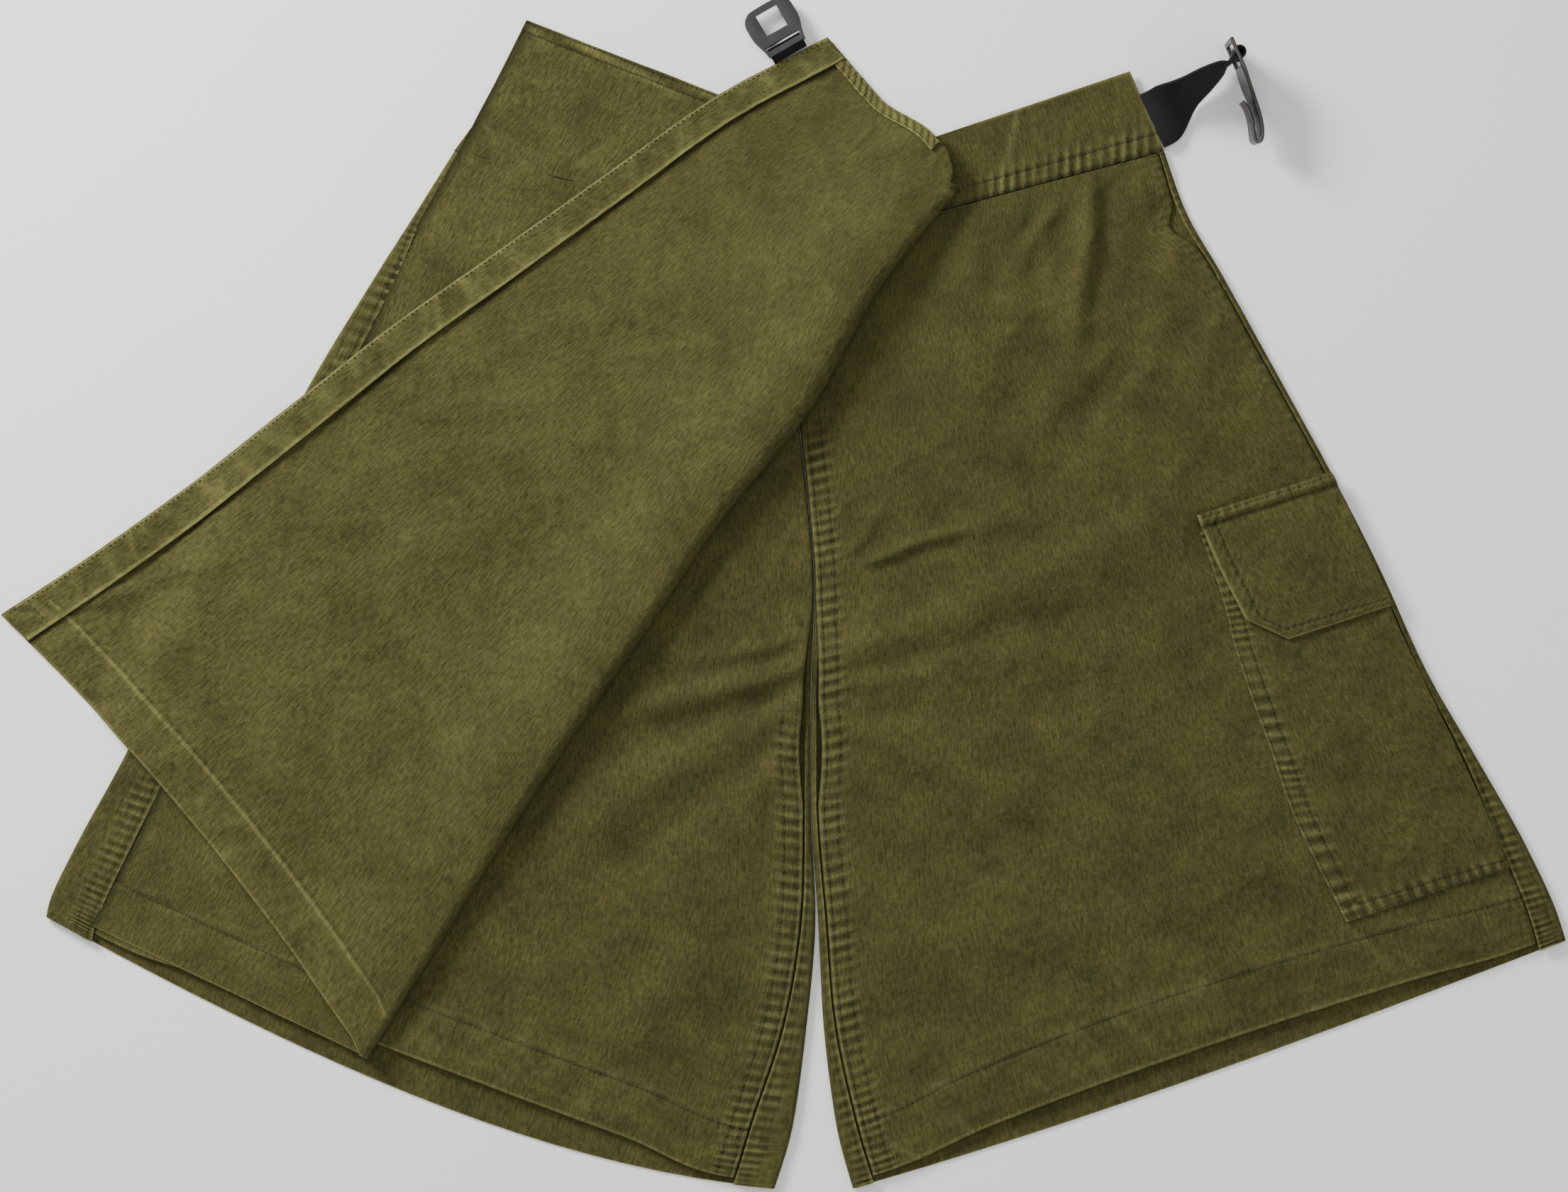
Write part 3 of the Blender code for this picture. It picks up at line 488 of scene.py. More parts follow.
def front_edges(leg, v):
    row = read(leg, v)
    width = leg_width(leg, v)
    side_y = leg_point(leg, v, width)[1]
    vent = VENT_DEPTH * bell(side_y - VENT_Y, VENT_REACH) if leg is RIGHT_LEG else 0.0
    clear = 8 * row.inner_level * (1 - row.inner_level)
    lead = ease((v - 0.4) / 0.09)
    start = SEAM_GAP / 2 + lead * (row.inner_turn + 2 * SEAM_GAP + clear)
    return start, width - row.side_turn - SEAM_GAP - vent


def v_above_hem(leg, t, distance):
    # The v that lies so many millimetres above the back's hem, at the share t across the leg
    v, left = np.ones_like(t), np.zeros_like(t) + distance
    for low, high in zip(leg[:0:-1], leg[-2::-1]):
        step_x = (high.inner_x - low.inner_x) * (1 - t) + (high.side_x - low.side_x) * t
        step_y = (high.inner_y - low.inner_y) * (1 - t) + (high.side_y - low.side_y) * t
        step = np.hypot(step_x, step_y)
        v = v - np.minimum(left / step, 1) / (len(leg) - 1)
        left = np.maximum(left - step, 0)
    return v


def front_surface(leg, arc, seed, sewn_from):
    def surface(u, w):
        # u runs 0-1 over the seam's ridge, 1-2 over the middle, 2-3 by the side seam; w runs 0-1 from the
        # waist to the hem's stitches and 1-2 over the hem
        v = 0.94 * np.minimum(w, 1) + 0.05 * np.maximum(w - 1, 0)
        for _ in range(3):
            start, end = front_edges(leg, v)
            across = start + SEAM_ZONE * np.clip(u, 0, 1) + SIDE_ZONE * np.clip(u - 2, 0, 1)
            across = across + (end - start - SEAM_ZONE - SIDE_ZONE) * np.clip(u - 1, 0, 1)
            t = (across - start) / (end - start)
            last = v_above_hem(leg, t, FRONT_SHORTER)
            hem = v_above_hem(leg, t, FRONT_SHORTER + LEG_HEM)
            v = hem * np.minimum(w, 1) + (last - hem) * np.maximum(w - 1, 0)
        x, y = leg_point(leg, v, across)
        from_seams = ease((v - 0.5) / 0.5) * ease(6 * t) * ease(6 * (1 - t))
        y = y + 4 * arc * t * (1 - t) * (1.25 - 0.5 * t) * from_seams - WAIST_GAP / 2 * (w == 0)
        from_seam, from_side = across - start, end - across
        from_hem = np.where(w > 1, (2 - w) * LEG_HEM, LEG_HEM + (hem - v) * LEG_RUN)
        along = v * LEG_RUN
        open_here = uncovered(x, y)
        felled = ease((v - sewn_from) / 0.06) * open_here
        sewn, rub, dark = seam_rows(from_seam, along, SEAM_ROWS, 6.3, seed)
        side, side_rub, side_dark = seam_rows(from_side, along, (2.0,), 7.0, seed + 2)
        edge, edge_rub, edge_dark = seam_rows(LEG_HEM - 1.6 - from_hem, from_seam, (0.0,), 4.4, seed + 4)
        hemmed = ease((w - 1) * LEG_HEM / 1.4 + 0.5)
        roll = bell(from_hem - 9 - 2 * unevenness(x, y, 60, 130, seed), 2.6) - 0.6 * bell(from_hem - 16, 3.5)
        rope = cross_creases(from_seam + 0.7 * from_hem, from_hem / LEG_HEM, 460, 13, seed + 6)
        z = front_height(x, y) + CLOTH + felled * sewn + open_here * 0.5 * side
        z = z + open_here * (hemmed * (HEM_STEP + 0.45 * roll + 0.35 * rope) + 0.55 * edge)
        z = z - 0.5 * bell(from_seam, 0.9) - 0.5 * bell(from_side, 0.9) - 0.6 * bell(from_hem, 0.9)
        wear = felled * rub + open_here * (0.4 * side_rub + 0.5 * edge_rub)
        wear = wear + 0.45 * bell(from_hem - 1.2, 0.9) + 0.14 * hemmed * np.clip(rope, 0, 1)
        wear = wear + 0.35 * felled * bell(from_seam - 1.2, 0.8)
        # Painted shade: dark in pucker troughs and stitch grooves, thin dark lines along the panel's edges beside
        # the seam ridges, and a dark spot at the left leg's crotch.
        painted_shade = felled * dark + open_here * (0.4 * side_dark + 0.8 * edge_dark)
        painted_shade = painted_shade + 0.8 * bell(from_side, 0.7) + 0.85 * bell(from_seam, 0.8)
        if leg is LEFT_LEG:
            painted_shade = painted_shade + 0.6 * bell(np.hypot(x - 9.9, y + 16.6), 1.8)
        return x, y, z, wear, painted_shade
    return surface


right_front = front_surface(RIGHT_LEG, 10.0, 31, 0.02)
left_front = front_surface(LEFT_LEG, 16.0, 41, 0.5)
FRONT_W = span((0, 1, 350), (1, 2, 30))
for label, surface, cells, flip in (("right", right_front, 84, True), ("left", left_front, 60, False)):
    shell = cloth_grid("front_cloth_" + label, surface, span((0, 1, 20), (1, 2, cells), (2, 3, 8)), FRONT_W,
                       canvas, 1.0, flip=flip)
    settle(shell, "front_" + label)

# Stitching: lockstitch in polyester thread dyed with the cloth, 3 mm to a stitch, its colour darkened as painted
# shade of the sunk needle holes. Each row is one run of small beads of thread, sunk between the puckers that it
# pulls up.
THREAD = 0.5
STITCH = 3.1


def thread_material(name, colour, rough):
    # Spun polyester: fine, slightly glossy next to the cloth; a fine noise breaks up its colour
    material, tree, shader = new_material(name)
    place = add(tree, "ShaderNodeTexCoord").outputs["Object"]
    fuzz = add(tree, "ShaderNodeTexNoise", [("Vector", place), ("Scale", 600.0), ("Detail", 2.0)]).outputs["Fac"]
    tone = add(tree, "ShaderNodeMapRange", [("Value", fuzz), ("To Min", 0.6), ("To Max", 1.4)]).outputs["Result"]
    colour_mix = add(tree, "ShaderNodeMix", [("Factor", 1.0), ("A", linear(colour)), ("B", tone)],
                     data_type="RGBA", blend_type="MULTIPLY")
    tree.links.new(colour_mix.outputs["Result"], shader.inputs["Base Color"])
    shader.inputs["Roughness"].default_value = rough
    return material


# The olive thread is darker than the cloth: painted shade of the sunk needle holes.
olive_thread_painted_shade = thread_material("olive_thread_painted_shade", "2d2d16", 0.75)
black_thread = thread_material("black_thread", "3c3c40", 0.6)


def stitch_rows(name, rows, material, body="root"):
    # rows holds paths of points in millimetres; beads of thread lie along each of them
    bead = bmesh.new()
    bmesh.ops.create_icosphere(bead, subdivisions=1, radius=1)
    shape = np.array([v.co[:] for v in bead.verts])
    faces = np.array([[v.index for v in f.verts] for f in bead.faces])
    bead.free()
    all_points, all_faces, count = [], [], 0
    for path in rows:
        path = np.asarray(path, float)
        run = np.concatenate([[0], np.cumsum(np.linalg.norm(np.diff(path, axis=0), axis=1))])
        for centre in np.arange(STITCH / 2, run[-1], STITCH):
            ends = [np.array([np.interp(centre + k * 0.38 * STITCH, run, path[:, a]) for a in range(3)])
                    for k in (-1, 1)]
            middle, along = (ends[0] + ends[1]) / 2, ends[1] - ends[0]
            half = np.linalg.norm(along) / 2
            along = along / (2 * half)
            side = np.cross([0, 0, 1], along)
            side = side / np.linalg.norm(side)
            up = np.cross(along, side)
            local = shape * [half, THREAD * 0.62, THREAD * 0.5]
            all_points.append(middle + local @ np.stack([along, side, up]))
            all_faces.append(faces + count)
            count += len(shape)
    mesh = bpy.data.meshes.new(name)
    mesh.from_pydata((np.concatenate(all_points) * MM).tolist(), [], np.concatenate(all_faces).tolist())
    mesh.shade_smooth()
    mesh.materials.append(material)
    piece = bpy.data.objects.new(name, mesh)
    bpy.context.scene.collection.objects.link(piece)
    return settle(piece, None, body)


def row_on(surface, u, v, lift=0.2):
    x, y, z, _, _ = surface(*np.broadcast_arrays(np.asarray(u, float), np.asarray(v, float)))
    return np.stack([x, y, z + lift], axis=1)


def shown(path):
    # The stretches of a path that the folded wrap leaves in sight
    keep = uncovered(path[:, 0], path[:, 1]) > 0.05
    return path[keep] if keep.sum() > 3 else path[:0]


down = np.linspace(0.02, 1.97, 420)
rows = [row_on(right_front, away / SEAM_ZONE, down) for away in SEAM_ROWS]
rows += [shown(row_on(left_front, away / SEAM_ZONE, np.linspace(0.55, 1.97, 220))) for away in SEAM_ROWS]
rows.append(row_on(right_front, np.linspace(0.05, 2.95, 300), 1.06))
rows.append(shown(row_on(left_front, np.linspace(0.05, 1.6, 300), 1.06)))
stitch_rows("stitches_front", [r for r in rows if len(r)], olive_thread_painted_shade)

# Waistband: two straight bands of doubled canvas, 37 mm high, sewn over the top of the panels.
# Its front half shows on the right, with two rows of stitches close above the seam and one on top.
WAIST_TOP = {1: ((17.5, 229), (190, 287)), -1: ((17.2, 229), (-151, 284))}
BAND_LEVEL = 2.1
DOUBLE_CLOTH = 2.0


HALF_WAIST = 195.0
BAND_HIGH = 37.0
BAND_ROWS = (1.2, 8.2)


def band_surface(level, thick, inset, seed, lively):
    def surface(u, w):
        # u from -1 at the left end to 1 at the right, w from 0 at the seam to 1 at the top
        x, y = np.zeros_like(u), np.zeros_like(u)
        for side, leg in ((-1, LEFT_LEG), (1, RIGHT_LEG)):
            here = (u < 0) if side < 0 else (u >= 0)
            (mid_x, mid_y), (end_x, end_y) = WAIST_TOP[side]
            reach = np.abs(u) * (1 - inset / HALF_WAIST)
            start = np.zeros_like(u)
            seam_x, seam_y = leg_point(leg, start, leg_width(leg, start) * reach)
            top_x, top_y = mid_x + (end_x - mid_x) * reach, mid_y + (end_y - mid_y) * reach - inset
            bottom_y = seam_y + WAIST_GAP / 2
            x = np.where(here, seam_x + (top_x - seam_x) * w, x)
            y = np.where(here, bottom_y + (top_y - bottom_y) * w, y)
        open_here = uncovered(x, y) * lively
        sewn, rub, dark = seam_rows(BAND_HIGH * w, x, BAND_ROWS, 6.2, seed)
        creased = cross_creases(x + 240, w, 460, 17, seed + 3)
        z = level + thick + open_here * (sewn + 0.5 * unevenness(x, y, 24, 70, seed) + 0.6 * creased)
        z = z + open_here * (0.5 * bell(w - 1, 0.1) - 0.5 * bell(w, 0.02))
        wear = open_here * (rub + 0.45 * bell(w - 1, 0.025) + 0.4 * bell(np.abs(u) - 1, 0.006)
                            + 0.25 * np.clip(creased, 0, 1))
        # The fifth value is painted shade in pucker troughs and stitch grooves, with a dark line along the seam at
        # the band's foot.
        return x, y, z, wear, open_here * dark + 0.7 * bell(w, 0.015)
    return surface


front_band = band_surface(BAND_LEVEL, DOUBLE_CLOTH, 0.0, 51, 1.0)
back_band = band_surface(0.0, 1.8, 4.0, 52, 0.0)
BAND_U = span((-1, 0, 40), (0, 0.3, 20), (0.3, 1, 150))
BAND_W = span((0, 0.35, 18), (0.35, 0.9, 12), (0.9, 1, 5))
band_front = cloth_grid("waistband_front_cloth", front_band, BAND_U, BAND_W, canvas, 1.9)
settle(band_front, "waistband_front")
band_back = cloth_grid("waistband_back_cloth", back_band, span((-1, 1, 40)), span((0, 1, 4)), canvas, 1.7)
settle(band_back, "waistband_back")
band_run = np.linspace(0.36, 0.99, 200)
stitch_rows("stitches_waistband", [row_on(front_band, band_run, away / BAND_HIGH) for away in BAND_ROWS],
            olive_thread_painted_shade)

# Wrap: one flared cut of canvas, sewn into the left side seam and folded back over itself. It rises
# into a soft roll at the fold, and its free corner hangs past the shorts down to the table.
WRAP_LEVEL = 4.6
FOLDED_LEVEL = WRAP_LEVEL + CLOTH + SEAM_GAP
WRAP_HEM = 34.0
WRAP_HEM_RUN = 460.0
WRAP_RUN = 575.0
WRAP_HEM_BOW = 9.0
WRAP_TOP_BUMP = 8.0
FACING_WIDE = (15.0, 20.0)
FACING_SLANT = 0.97
ROLL_RUN = 70.0
DROOP_RUN = 30.0
WRAP_FOLDS = [
    Fold(-120, 150, 10, 178, 1.0, 14),
    Fold(-290, 20, -150, 96, 1.4, 20),
    Fold(-376, -6, -322, 16, 1.2, 7),
    Fold(-170, 30, -60, 120, 1.2, 18),
    Fold(-300, -90, -210, -150, 1.2, 16),
]
# Smaller creases of the folded-over layer, and of the layer under it
WRAP_CREASES = [
    Fold(21, 274, 49, 266, 0.9, 2.2),
    Fold(38, 246, 46, 256, 1.0, 2.0),
    Fold(-60, 215, 30, 190, 0.9, 9),
    Fold(-20, 120, 20, 175, -1.2, 14),
    Fold(10, 210, 60, 160, 1.2, 16),
    Fold(-160, 120, -90, 140, -0.9, 12),
    Fold(-230, 10, -120, 60, 1.1, 14),
    Fold(-340, -30, -260, 20, 0.9, 10),
    Fold(-376, -4, -328, 14, 1.3, 4),
    Fold(-352, 4, -300, 10, -0.8, 6),
    Fold(-250, -60, -180, -30, -1.0, 14),
    Fold(-290, -130, -240, -190, 0.9, 12),
    Fold(-80, 190, -20, 150, 0.8, 8),
    Fold(-300, 60, -240, 110, 0.9, 8),
    Fold(-130, 60, -70, 70, -0.9, 9),
    Fold(-210, -60, -150, -110, 1.1, 12),
    Fold(-270, 40, -190, 30, 0.7, 6),
    Fold(-90, 128, -40, 138, 0.7, 5),
    Fold(-60, 80, -20, 112, 0.9, 9),
    Fold(-200, 96, -140, 104, 0.7, 6),
]
LOWER_CREASES = [
    Fold(-160, 289, -112, 262, -2.4, 12),
    Fold(-150, 262, -124, 244, -2.0, 12),
    Fold(-170, 268, -120, 276, 1.6, 8),
    Fold(-176, 226, -150, 200, 1.4, 10),
    Fold(-128, 240, -96, 232, 1.0, 10),
    Fold(-196, 190, -176, 168, -1.2, 9),
    Fold(-350, -140, -310, -150, 0.8, 8),
]


def past_shorts(x, y):
    # How far a point lies outside the layers under it
    side = line_at(LEFT_LEG, "side_x", "side_y", y) - x
    slope = (WRAP[0].fold_y - WRAP[0].seam_y) / (WRAP[0].fold_x - WRAP[0].seam_x)
    top = y - (WRAP[0].seam_y + slope * (x - WRAP[0].seam_x))
    (band_x, band_y), (band_end_x, band_end_y) = WAIST_TOP[1]
    past_band = y - band_y - (band_end_y - band_y) / (band_end_x - band_x) * (x - band_x)
    top = np.where(x > band_x, np.minimum(top, past_band), top)
    side = np.where(y < LEFT_LEG[0].side_y, side * 0.88, 0.0)
    return np.maximum(np.maximum(side, top * 0.93), 0.0)


def wrap_height(x, y, from_fold, roll):
    stack = FOLDED_LEVEL + roll * (1 + np.cos(pi * np.clip(from_fold / ROLL_RUN, 0, 1))) / 2
    drop = ease(past_shorts(x, y) / DROOP_RUN)
    relief = folds_height(WRAP_FOLDS, x, y) + folds_height(WRAP_CREASES, x, y)
    relief = relief + 0.6 * unevenness(x, y, 40, 110, 61) + 0.18 * unevenness(x, y, 12, 30, 62)
    relief = relief + 0.5 * crumple(x, y, 30, 90, 65) + 0.25 * crumple(x, y, 12, 34, 66)
    return stack * (1 - drop) + np.maximum(relief + 0.4, 0.0)


def folded_point(v, u):
    row = read(WRAP, v)
    dx, dy = row.edge_x - row.fold_x, row.edge_y - row.fold_y
    width = np.hypot(dx, dy)
    bow = 4 * u * (1 - u) * WRAP_HEM_BOW * ease((v - 0.6) / 0.4)
    bow = bow + WRAP_TOP_BUMP * ease(u / 0.2) * ease((0.6 - u) / 0.32) * ease((0.25 - v) / 0.25)
    return row.fold_x + dx * u + dy / width * bow, row.fold_y + dy * u - dx / width * bow, width, row.roll


def past_low(x, y):
    # How far a point of the lower layer lies from the fold, so that it stays plain beside the roll
    return line_at(WRAP, "fold_x", "fold_y", y) - x - 20


def wrap_surface(u, v):
    # u runs 0-1 over the lower layer, 1-2 round the roll, 2-3 over the folded-over layer
    row = read(WRAP, v)
    span_x, span_y = row.fold_x - row.seam_x, row.fold_y - row.seam_y
    width_low = np.hypot(span_x, span_y)
    out_x, out_y = span_x / width_low, span_y / width_low
    low, high = WRAP_LEVEL + CLOTH / 2, FOLDED_LEVEL + row.roll + CLOTH / 2
    r = (high - low) / 2
    centre_x, centre_y = row.fold_x - out_x * (r + CLOTH / 2), row.fold_y - out_y * (r + CLOTH / 2)
    t = np.clip(u, 0, 1)
    low_x, low_y = row.seam_x + (centre_x - row.seam_x) * t, row.seam_y + (centre_y - row.seam_y) * t
    from_hem = (1 - v) * WRAP_HEM_RUN
    seen_low = ease((v - 0.7) / 0.2) + ease((0.5 - v) / 0.2)
    seen_low = seen_low * ease(past_low(low_x, low_y) / 10)
    top_sewn, top_rub, top_dark = seam_rows(v * WRAP_RUN, low_x, (2.2, 9.8), 6.0, 67)
    foot_sewn, foot_rub, foot_dark = seam_rows(WRAP_HEM - 1.6 - from_hem, low_x, (0.0,), 5.0, 68)
    low_relief = folds_height(LOWER_CREASES, low_x, low_y) + 0.5 * unevenness(low_x, low_y, 30, 70, 63)
    low_relief = low_relief + 0.5 * crumple(low_x, low_y, 20, 60, 69) + top_sewn + 0.6 * foot_sewn
    low_z = WRAP_LEVEL + seen_low * np.clip(low_relief, -1.3, 3.5)
    turn = (np.clip(u - 1, 0, 1) - 0.5) * pi
    round_x = centre_x + out_x * np.cos(turn) * (r + CLOTH / 2)
    round_y = centre_y + out_y * np.cos(turn) * (r + CLOTH / 2)
    round_z = low + r + np.sin(turn) * (r + CLOTH / 2)
    width_high = np.hypot(row.edge_x - row.fold_x, row.edge_y - row.fold_y)
    first = (r + CLOTH / 2) / width_high + 0.02
    s = first + (1 - first) * np.clip(u - 2, 0, 1)
    high_x, high_y, width_high, roll = folded_point(v, s)
    hemmed = ease((WRAP_HEM - from_hem) / 1.4)
    sewn, rub, dark = seam_rows(WRAP_HEM - 1.6 - from_hem, width_high * s, (0.0,), 5.0, 64)
    rope = cross_creases(width_high * s + 0.5 * from_hem, from_hem / WRAP_HEM, 360, 15, 70)
    blend = ease((u - 2) * 8)
    high_z = wrap_height(high_x, high_y, width_high * (s - first), roll) + CLOTH
    high_z = round_z + (high_z - round_z) * blend
    high_z = high_z + blend * (hemmed * (HEM_STEP + 0.4 * rope) + 0.6 * sewn - 0.6 * bell(from_hem, 0.9))
    x = np.where(u <= 1, low_x, np.where(u <= 2, round_x, high_x))
    y = np.where(u <= 1, low_y, np.where(u <= 2, round_y, high_y))
    z = np.where(u <= 1, low_z, np.where(u <= 2, round_z, high_z))
    on_top = ease((u - 1.7) / 0.5)
    facing_wide = FACING_WIDE[0] + (FACING_WIDE[1] - FACING_WIDE[0]) * v
    from_facing = width_high * (1 - s) * FACING_SLANT - facing_wide
    wear = on_top * (0.45 * bell(from_hem - 1.2, 0.9) + 0.14 * hemmed * np.clip(rope, 0, 1) + 0.5 * rub)
    wear = wear + on_top * 0.4 * bell(from_hem - WRAP_HEM + 3.4, 1.0)
    wear = wear + (1 - on_top) * (0.45 * bell(from_hem, 1.4) + top_rub + 0.5 * foot_rub
                                  + 0.5 * bell(u * width_low - 2.2, 0.9))
    # Painted shade: a dark line on the folded layer beside the facing's inner edge, dark along the hem's stitches
    # and along the lower layer's seamed edge, and in pucker troughs.
    painted_shade = on_top * (0.8 * dark + 0.9 * bell(from_facing - 0.9, 0.9))
    painted_shade = painted_shade + (1 - on_top) * (top_dark + 0.8 * foot_dark + 0.8 * bell(u * width_low, 0.9))
    return x, y, z, wear, painted_shade


WRAP_U = span((0, 1, 34), (1, 2, 12), (2, 3, 100))
WRAP_V = span((0, 0.03, 12), (0.03, 0.9, 230), (0.9, 1, 50))
wrap_cloth = cloth_grid("wrap_cloth", wrap_surface, WRAP_U, WRAP_V, inner_canvas, 1.0, flip=True)
settle(wrap_cloth, "wrap_panel")

# Facing: a strip of canvas sewn along the wrap's free edge, on the inner side. The seam pulls it into
# short cross puckers, its inner edge stands open with a painted shadow line beside it, and its folded edge is
# rubbed pale.
FACING_TALL = HEM_STEP + SEAM_GAP + 1.0


def facing_surface(t, v):
    # t from 0 at the strip's inner edge to 1 at the wrap's free edge
    wide = FACING_WIDE[0] + (FACING_WIDE[1] - FACING_WIDE[0]) * v
    width = folded_point(v, np.zeros_like(v))[2]
    u = 1 - wide * (1 - t) / (width * FACING_SLANT) - 0.4 / width * t
    x, y, width, roll = folded_point(v, u)
    first = ((FOLDED_LEVEL - WRAP_LEVEL + roll) / 2 + CLOTH / 2) / width + 0.02
    along = v * WRAP_RUN
    creased = cross_creases(along, t, WRAP_RUN, 11, 71) + 0.5 * cross_creases(along, t, WRAP_RUN, 6, 72)
    z = wrap_height(x, y, width * (u - first), roll) + CLOTH + FACING_TALL + 0.2
    z = z + 0.8 * creased + 0.25 * pucker(along - 9 * t, 5.2, 73) * bell(t - 0.9, 0.2)
    z = z + 0.9 * bell(t, 0.12) - 0.5 * bell(t - 1, 0.06)
    wear = 0.24 * np.clip(creased, 0, 1) + 0.6 * bell(t - 0.03, 0.05) + 0.6 * bell(t - 0.97, 0.05)
    # Painted shade in the hollows of the cross creases.
    painted_shade = 0.2 * np.clip(-creased, 0, 1)
    return x, y, z, wear, painted_shade


facing = cloth_grid("facing_cloth", facing_surface, span((0, 1, 16)), span((0.002, 0.998, 440)), inner_canvas, 1.0)
settle(facing, "wrap_facing")
facing_rows = [row_on(facing_surface, 0.93, np.linspace(0.01, 0.99, 420))]
facing_rows.append(row_on(facing_surface, np.linspace(0.1, 0.9, 30), 0.955))
stitch_rows("stitches_facing", facing_rows, olive_thread_painted_shade)
TOP_FACING = 10.0
TOP_FACING_LIFT = 1.1


def waist_facing_surface(u, w):
    # u from 0 by the fold to 1 at the facing, w from 0 at the top edge to 1 at the turned edge
    v = 0.002 + w * TOP_FACING / WRAP_RUN
    width = folded_point(v, np.zeros_like(u))[2]
    s = 0.23 + (1 - 16.2 / width - 0.23) * u
    x, y, width, roll = folded_point(v, s)
    first = ((FOLDED_LEVEL - WRAP_LEVEL + roll) / 2 + CLOTH / 2) / width + 0.02
    z = wrap_height(x, y, width * (s - first), roll) + CLOTH + TOP_FACING_LIFT + CLOTH
    sewn, rub, dark = seam_rows(w * TOP_FACING, u * 95 + 0.8 * w * TOP_FACING, (1.8, 8.4), 6.4, 81)
    z = z + 0.8 * sewn
    wear = 0.14 + rub + 0.6 * bell(w - 0.98, 0.07) + 0.4 * bell(w - 0.02, 0.07)
    # The fifth value is painted shade in pucker troughs and stitch grooves.
    return x, y, z, wear, dark


waist_facing = cloth_grid("waist_facing_cloth", waist_facing_surface, span((0, 1, 110)), span((0, 1, 12)),
                          inner_canvas, 1.0, flip=True)
settle(waist_facing, "wrap_waist_facing")
wrap_rows = [row_on(wrap_surface, np.linspace(2.1, 2.93, 300), 1 - (WRAP_HEM - 1.6) / WRAP_HEM_RUN)]
wrap_rows += [row_on(waist_facing_surface, np.linspace(0.02, 0.98, 100), w) for w in (0.18, 0.84)]
low_run = np.linspace(0.01, 0.6, 160)
wrap_rows += [row_on(wrap_surface, low_run, inset / WRAP_RUN, CLOTH) for inset in (2.2, 9.8)]
wrap_rows.append(row_on(wrap_surface, low_run, 1 - (WRAP_HEM - 1.6) / WRAP_HEM_RUN, CLOTH))
stitch_rows("stitches_wrap", wrap_rows, olive_thread_painted_shade)

# Cargo pocket: a flat bag of canvas sewn over the side seam with two rows of stitches, and a doubled
# flap with one cut corner sewn above its mouth.
Patch = namedtuple("Patch", "front_x front_y side_x side_y")
POCKET = [
    Patch(228, 34, 301, 57),
    Patch(241, -4, 324, 12),
    Patch(249, -35, 341, -26),
    Patch(268, -89, 368, -82),
    Patch(281, -125, 383, -114),
    Patch(308.5, -180, 398, -150),
]
FLAP = [
    Patch(226, 43, 300, 67),
    Patch(238, 15, 314, 38),
    Patch(253, -14, 329, 5),
    Patch(277, -25, 334, -6),
]
BAG_LONG = 237.0
BAG_WIDE = 94.0
BAG_ROWS = (1.6, 9.0)
FLAP_LONG = 78.0
FLAP_WIDE = 78.0


def patch_point(table, u, v):
    # Straight lines between the rows, so that the flap's cut corner stays sharp
    places = np.linspace(0, 1, len(table))
    front_x, front_y, side_x, side_y = (np.interp(v, places, [row[k] for row in table]) for k in range(4))
    return front_x + (side_x - front_x) * u, front_y + (side_y - front_y) * u


def bag_surface(u, v):
    row = read(POCKET, v)
    x, y = row.front_x + (row.side_x - row.front_x) * u, row.front_y + (row.side_y - row.front_y) * u
    from_front, from_foot = BAG_WIDE * u, BAG_LONG * (1 - v)
    front_sewn, front_rub, front_dark = seam_rows(from_front, BAG_LONG * v, BAG_ROWS, 6.5, 91)
    foot_sewn, foot_rub, foot_dark = seam_rows(from_foot, BAG_WIDE * u, BAG_ROWS, 6.8, 92)
    edge = np.minimum(from_front, from_foot)
    z = front_height(x, y) + CLOTH + SEAM_GAP + 1.0 + 0.8 * ease((edge - 9) / 22)
    z = z + 0.8 * front_sewn + 0.7 * foot_sewn + 0.5 * crumple(x, y, 18, 50, 95) - 0.4 * bell(edge, 0.8)
    wear = front_rub + foot_rub + 0.3 * bell(edge - 1, 0.8)
    # The fifth value is painted shade in pucker troughs and stitch grooves.
    return x, y, z, wear, np.maximum(front_dark, foot_dark)


def flap_surface(u, v):
    x, y = patch_point(FLAP, u, v)
    across, down_flap = FLAP_WIDE * u, FLAP_LONG * v
    from_edge = np.minimum(across, FLAP_LONG * (1 - v) * 0.82)
    inner, inner_rub, inner_dark = seam_rows(from_edge, across + down_flap, (8.0,), 5.0, 93)
    top, top_rub, top_dark = seam_rows(down_flap, across, (1.6,), 6.0, 94)
    z = front_height(x, y) + CLOTH + 2 * SEAM_GAP + CLOTH + 0.5 + DOUBLE_CLOTH
    z = z + 0.5 * inner + 0.6 * top + 0.9 * bell(down_flap - 2.4, 1.9) - 0.7 * bell(down_flap - 6.2, 1.0)
    z = z + 0.35 * crumple(x, y, 14, 40, 96) + 0.4 * unevenness(x, y, 20, 50, 97)
    z = z + 0.35 * bell(from_edge - 4, 2.5) - 0.5 * bell(from_edge, 0.7)
    wear = 0.6 * inner_rub + 0.6 * top_rub + 0.55 * bell(from_edge - 0.8, 0.8) + 0.2 * bell(down_flap - 2.4, 1.6)
    # Painted shade in pucker troughs and stitch grooves, and a dark line in the crease below the flap's top fold.
    painted_shade = inner_dark + 0.6 * top_dark + 0.85 * bell(down_flap - 6.4, 0.8)
    return x, y, z, wear, painted_shade


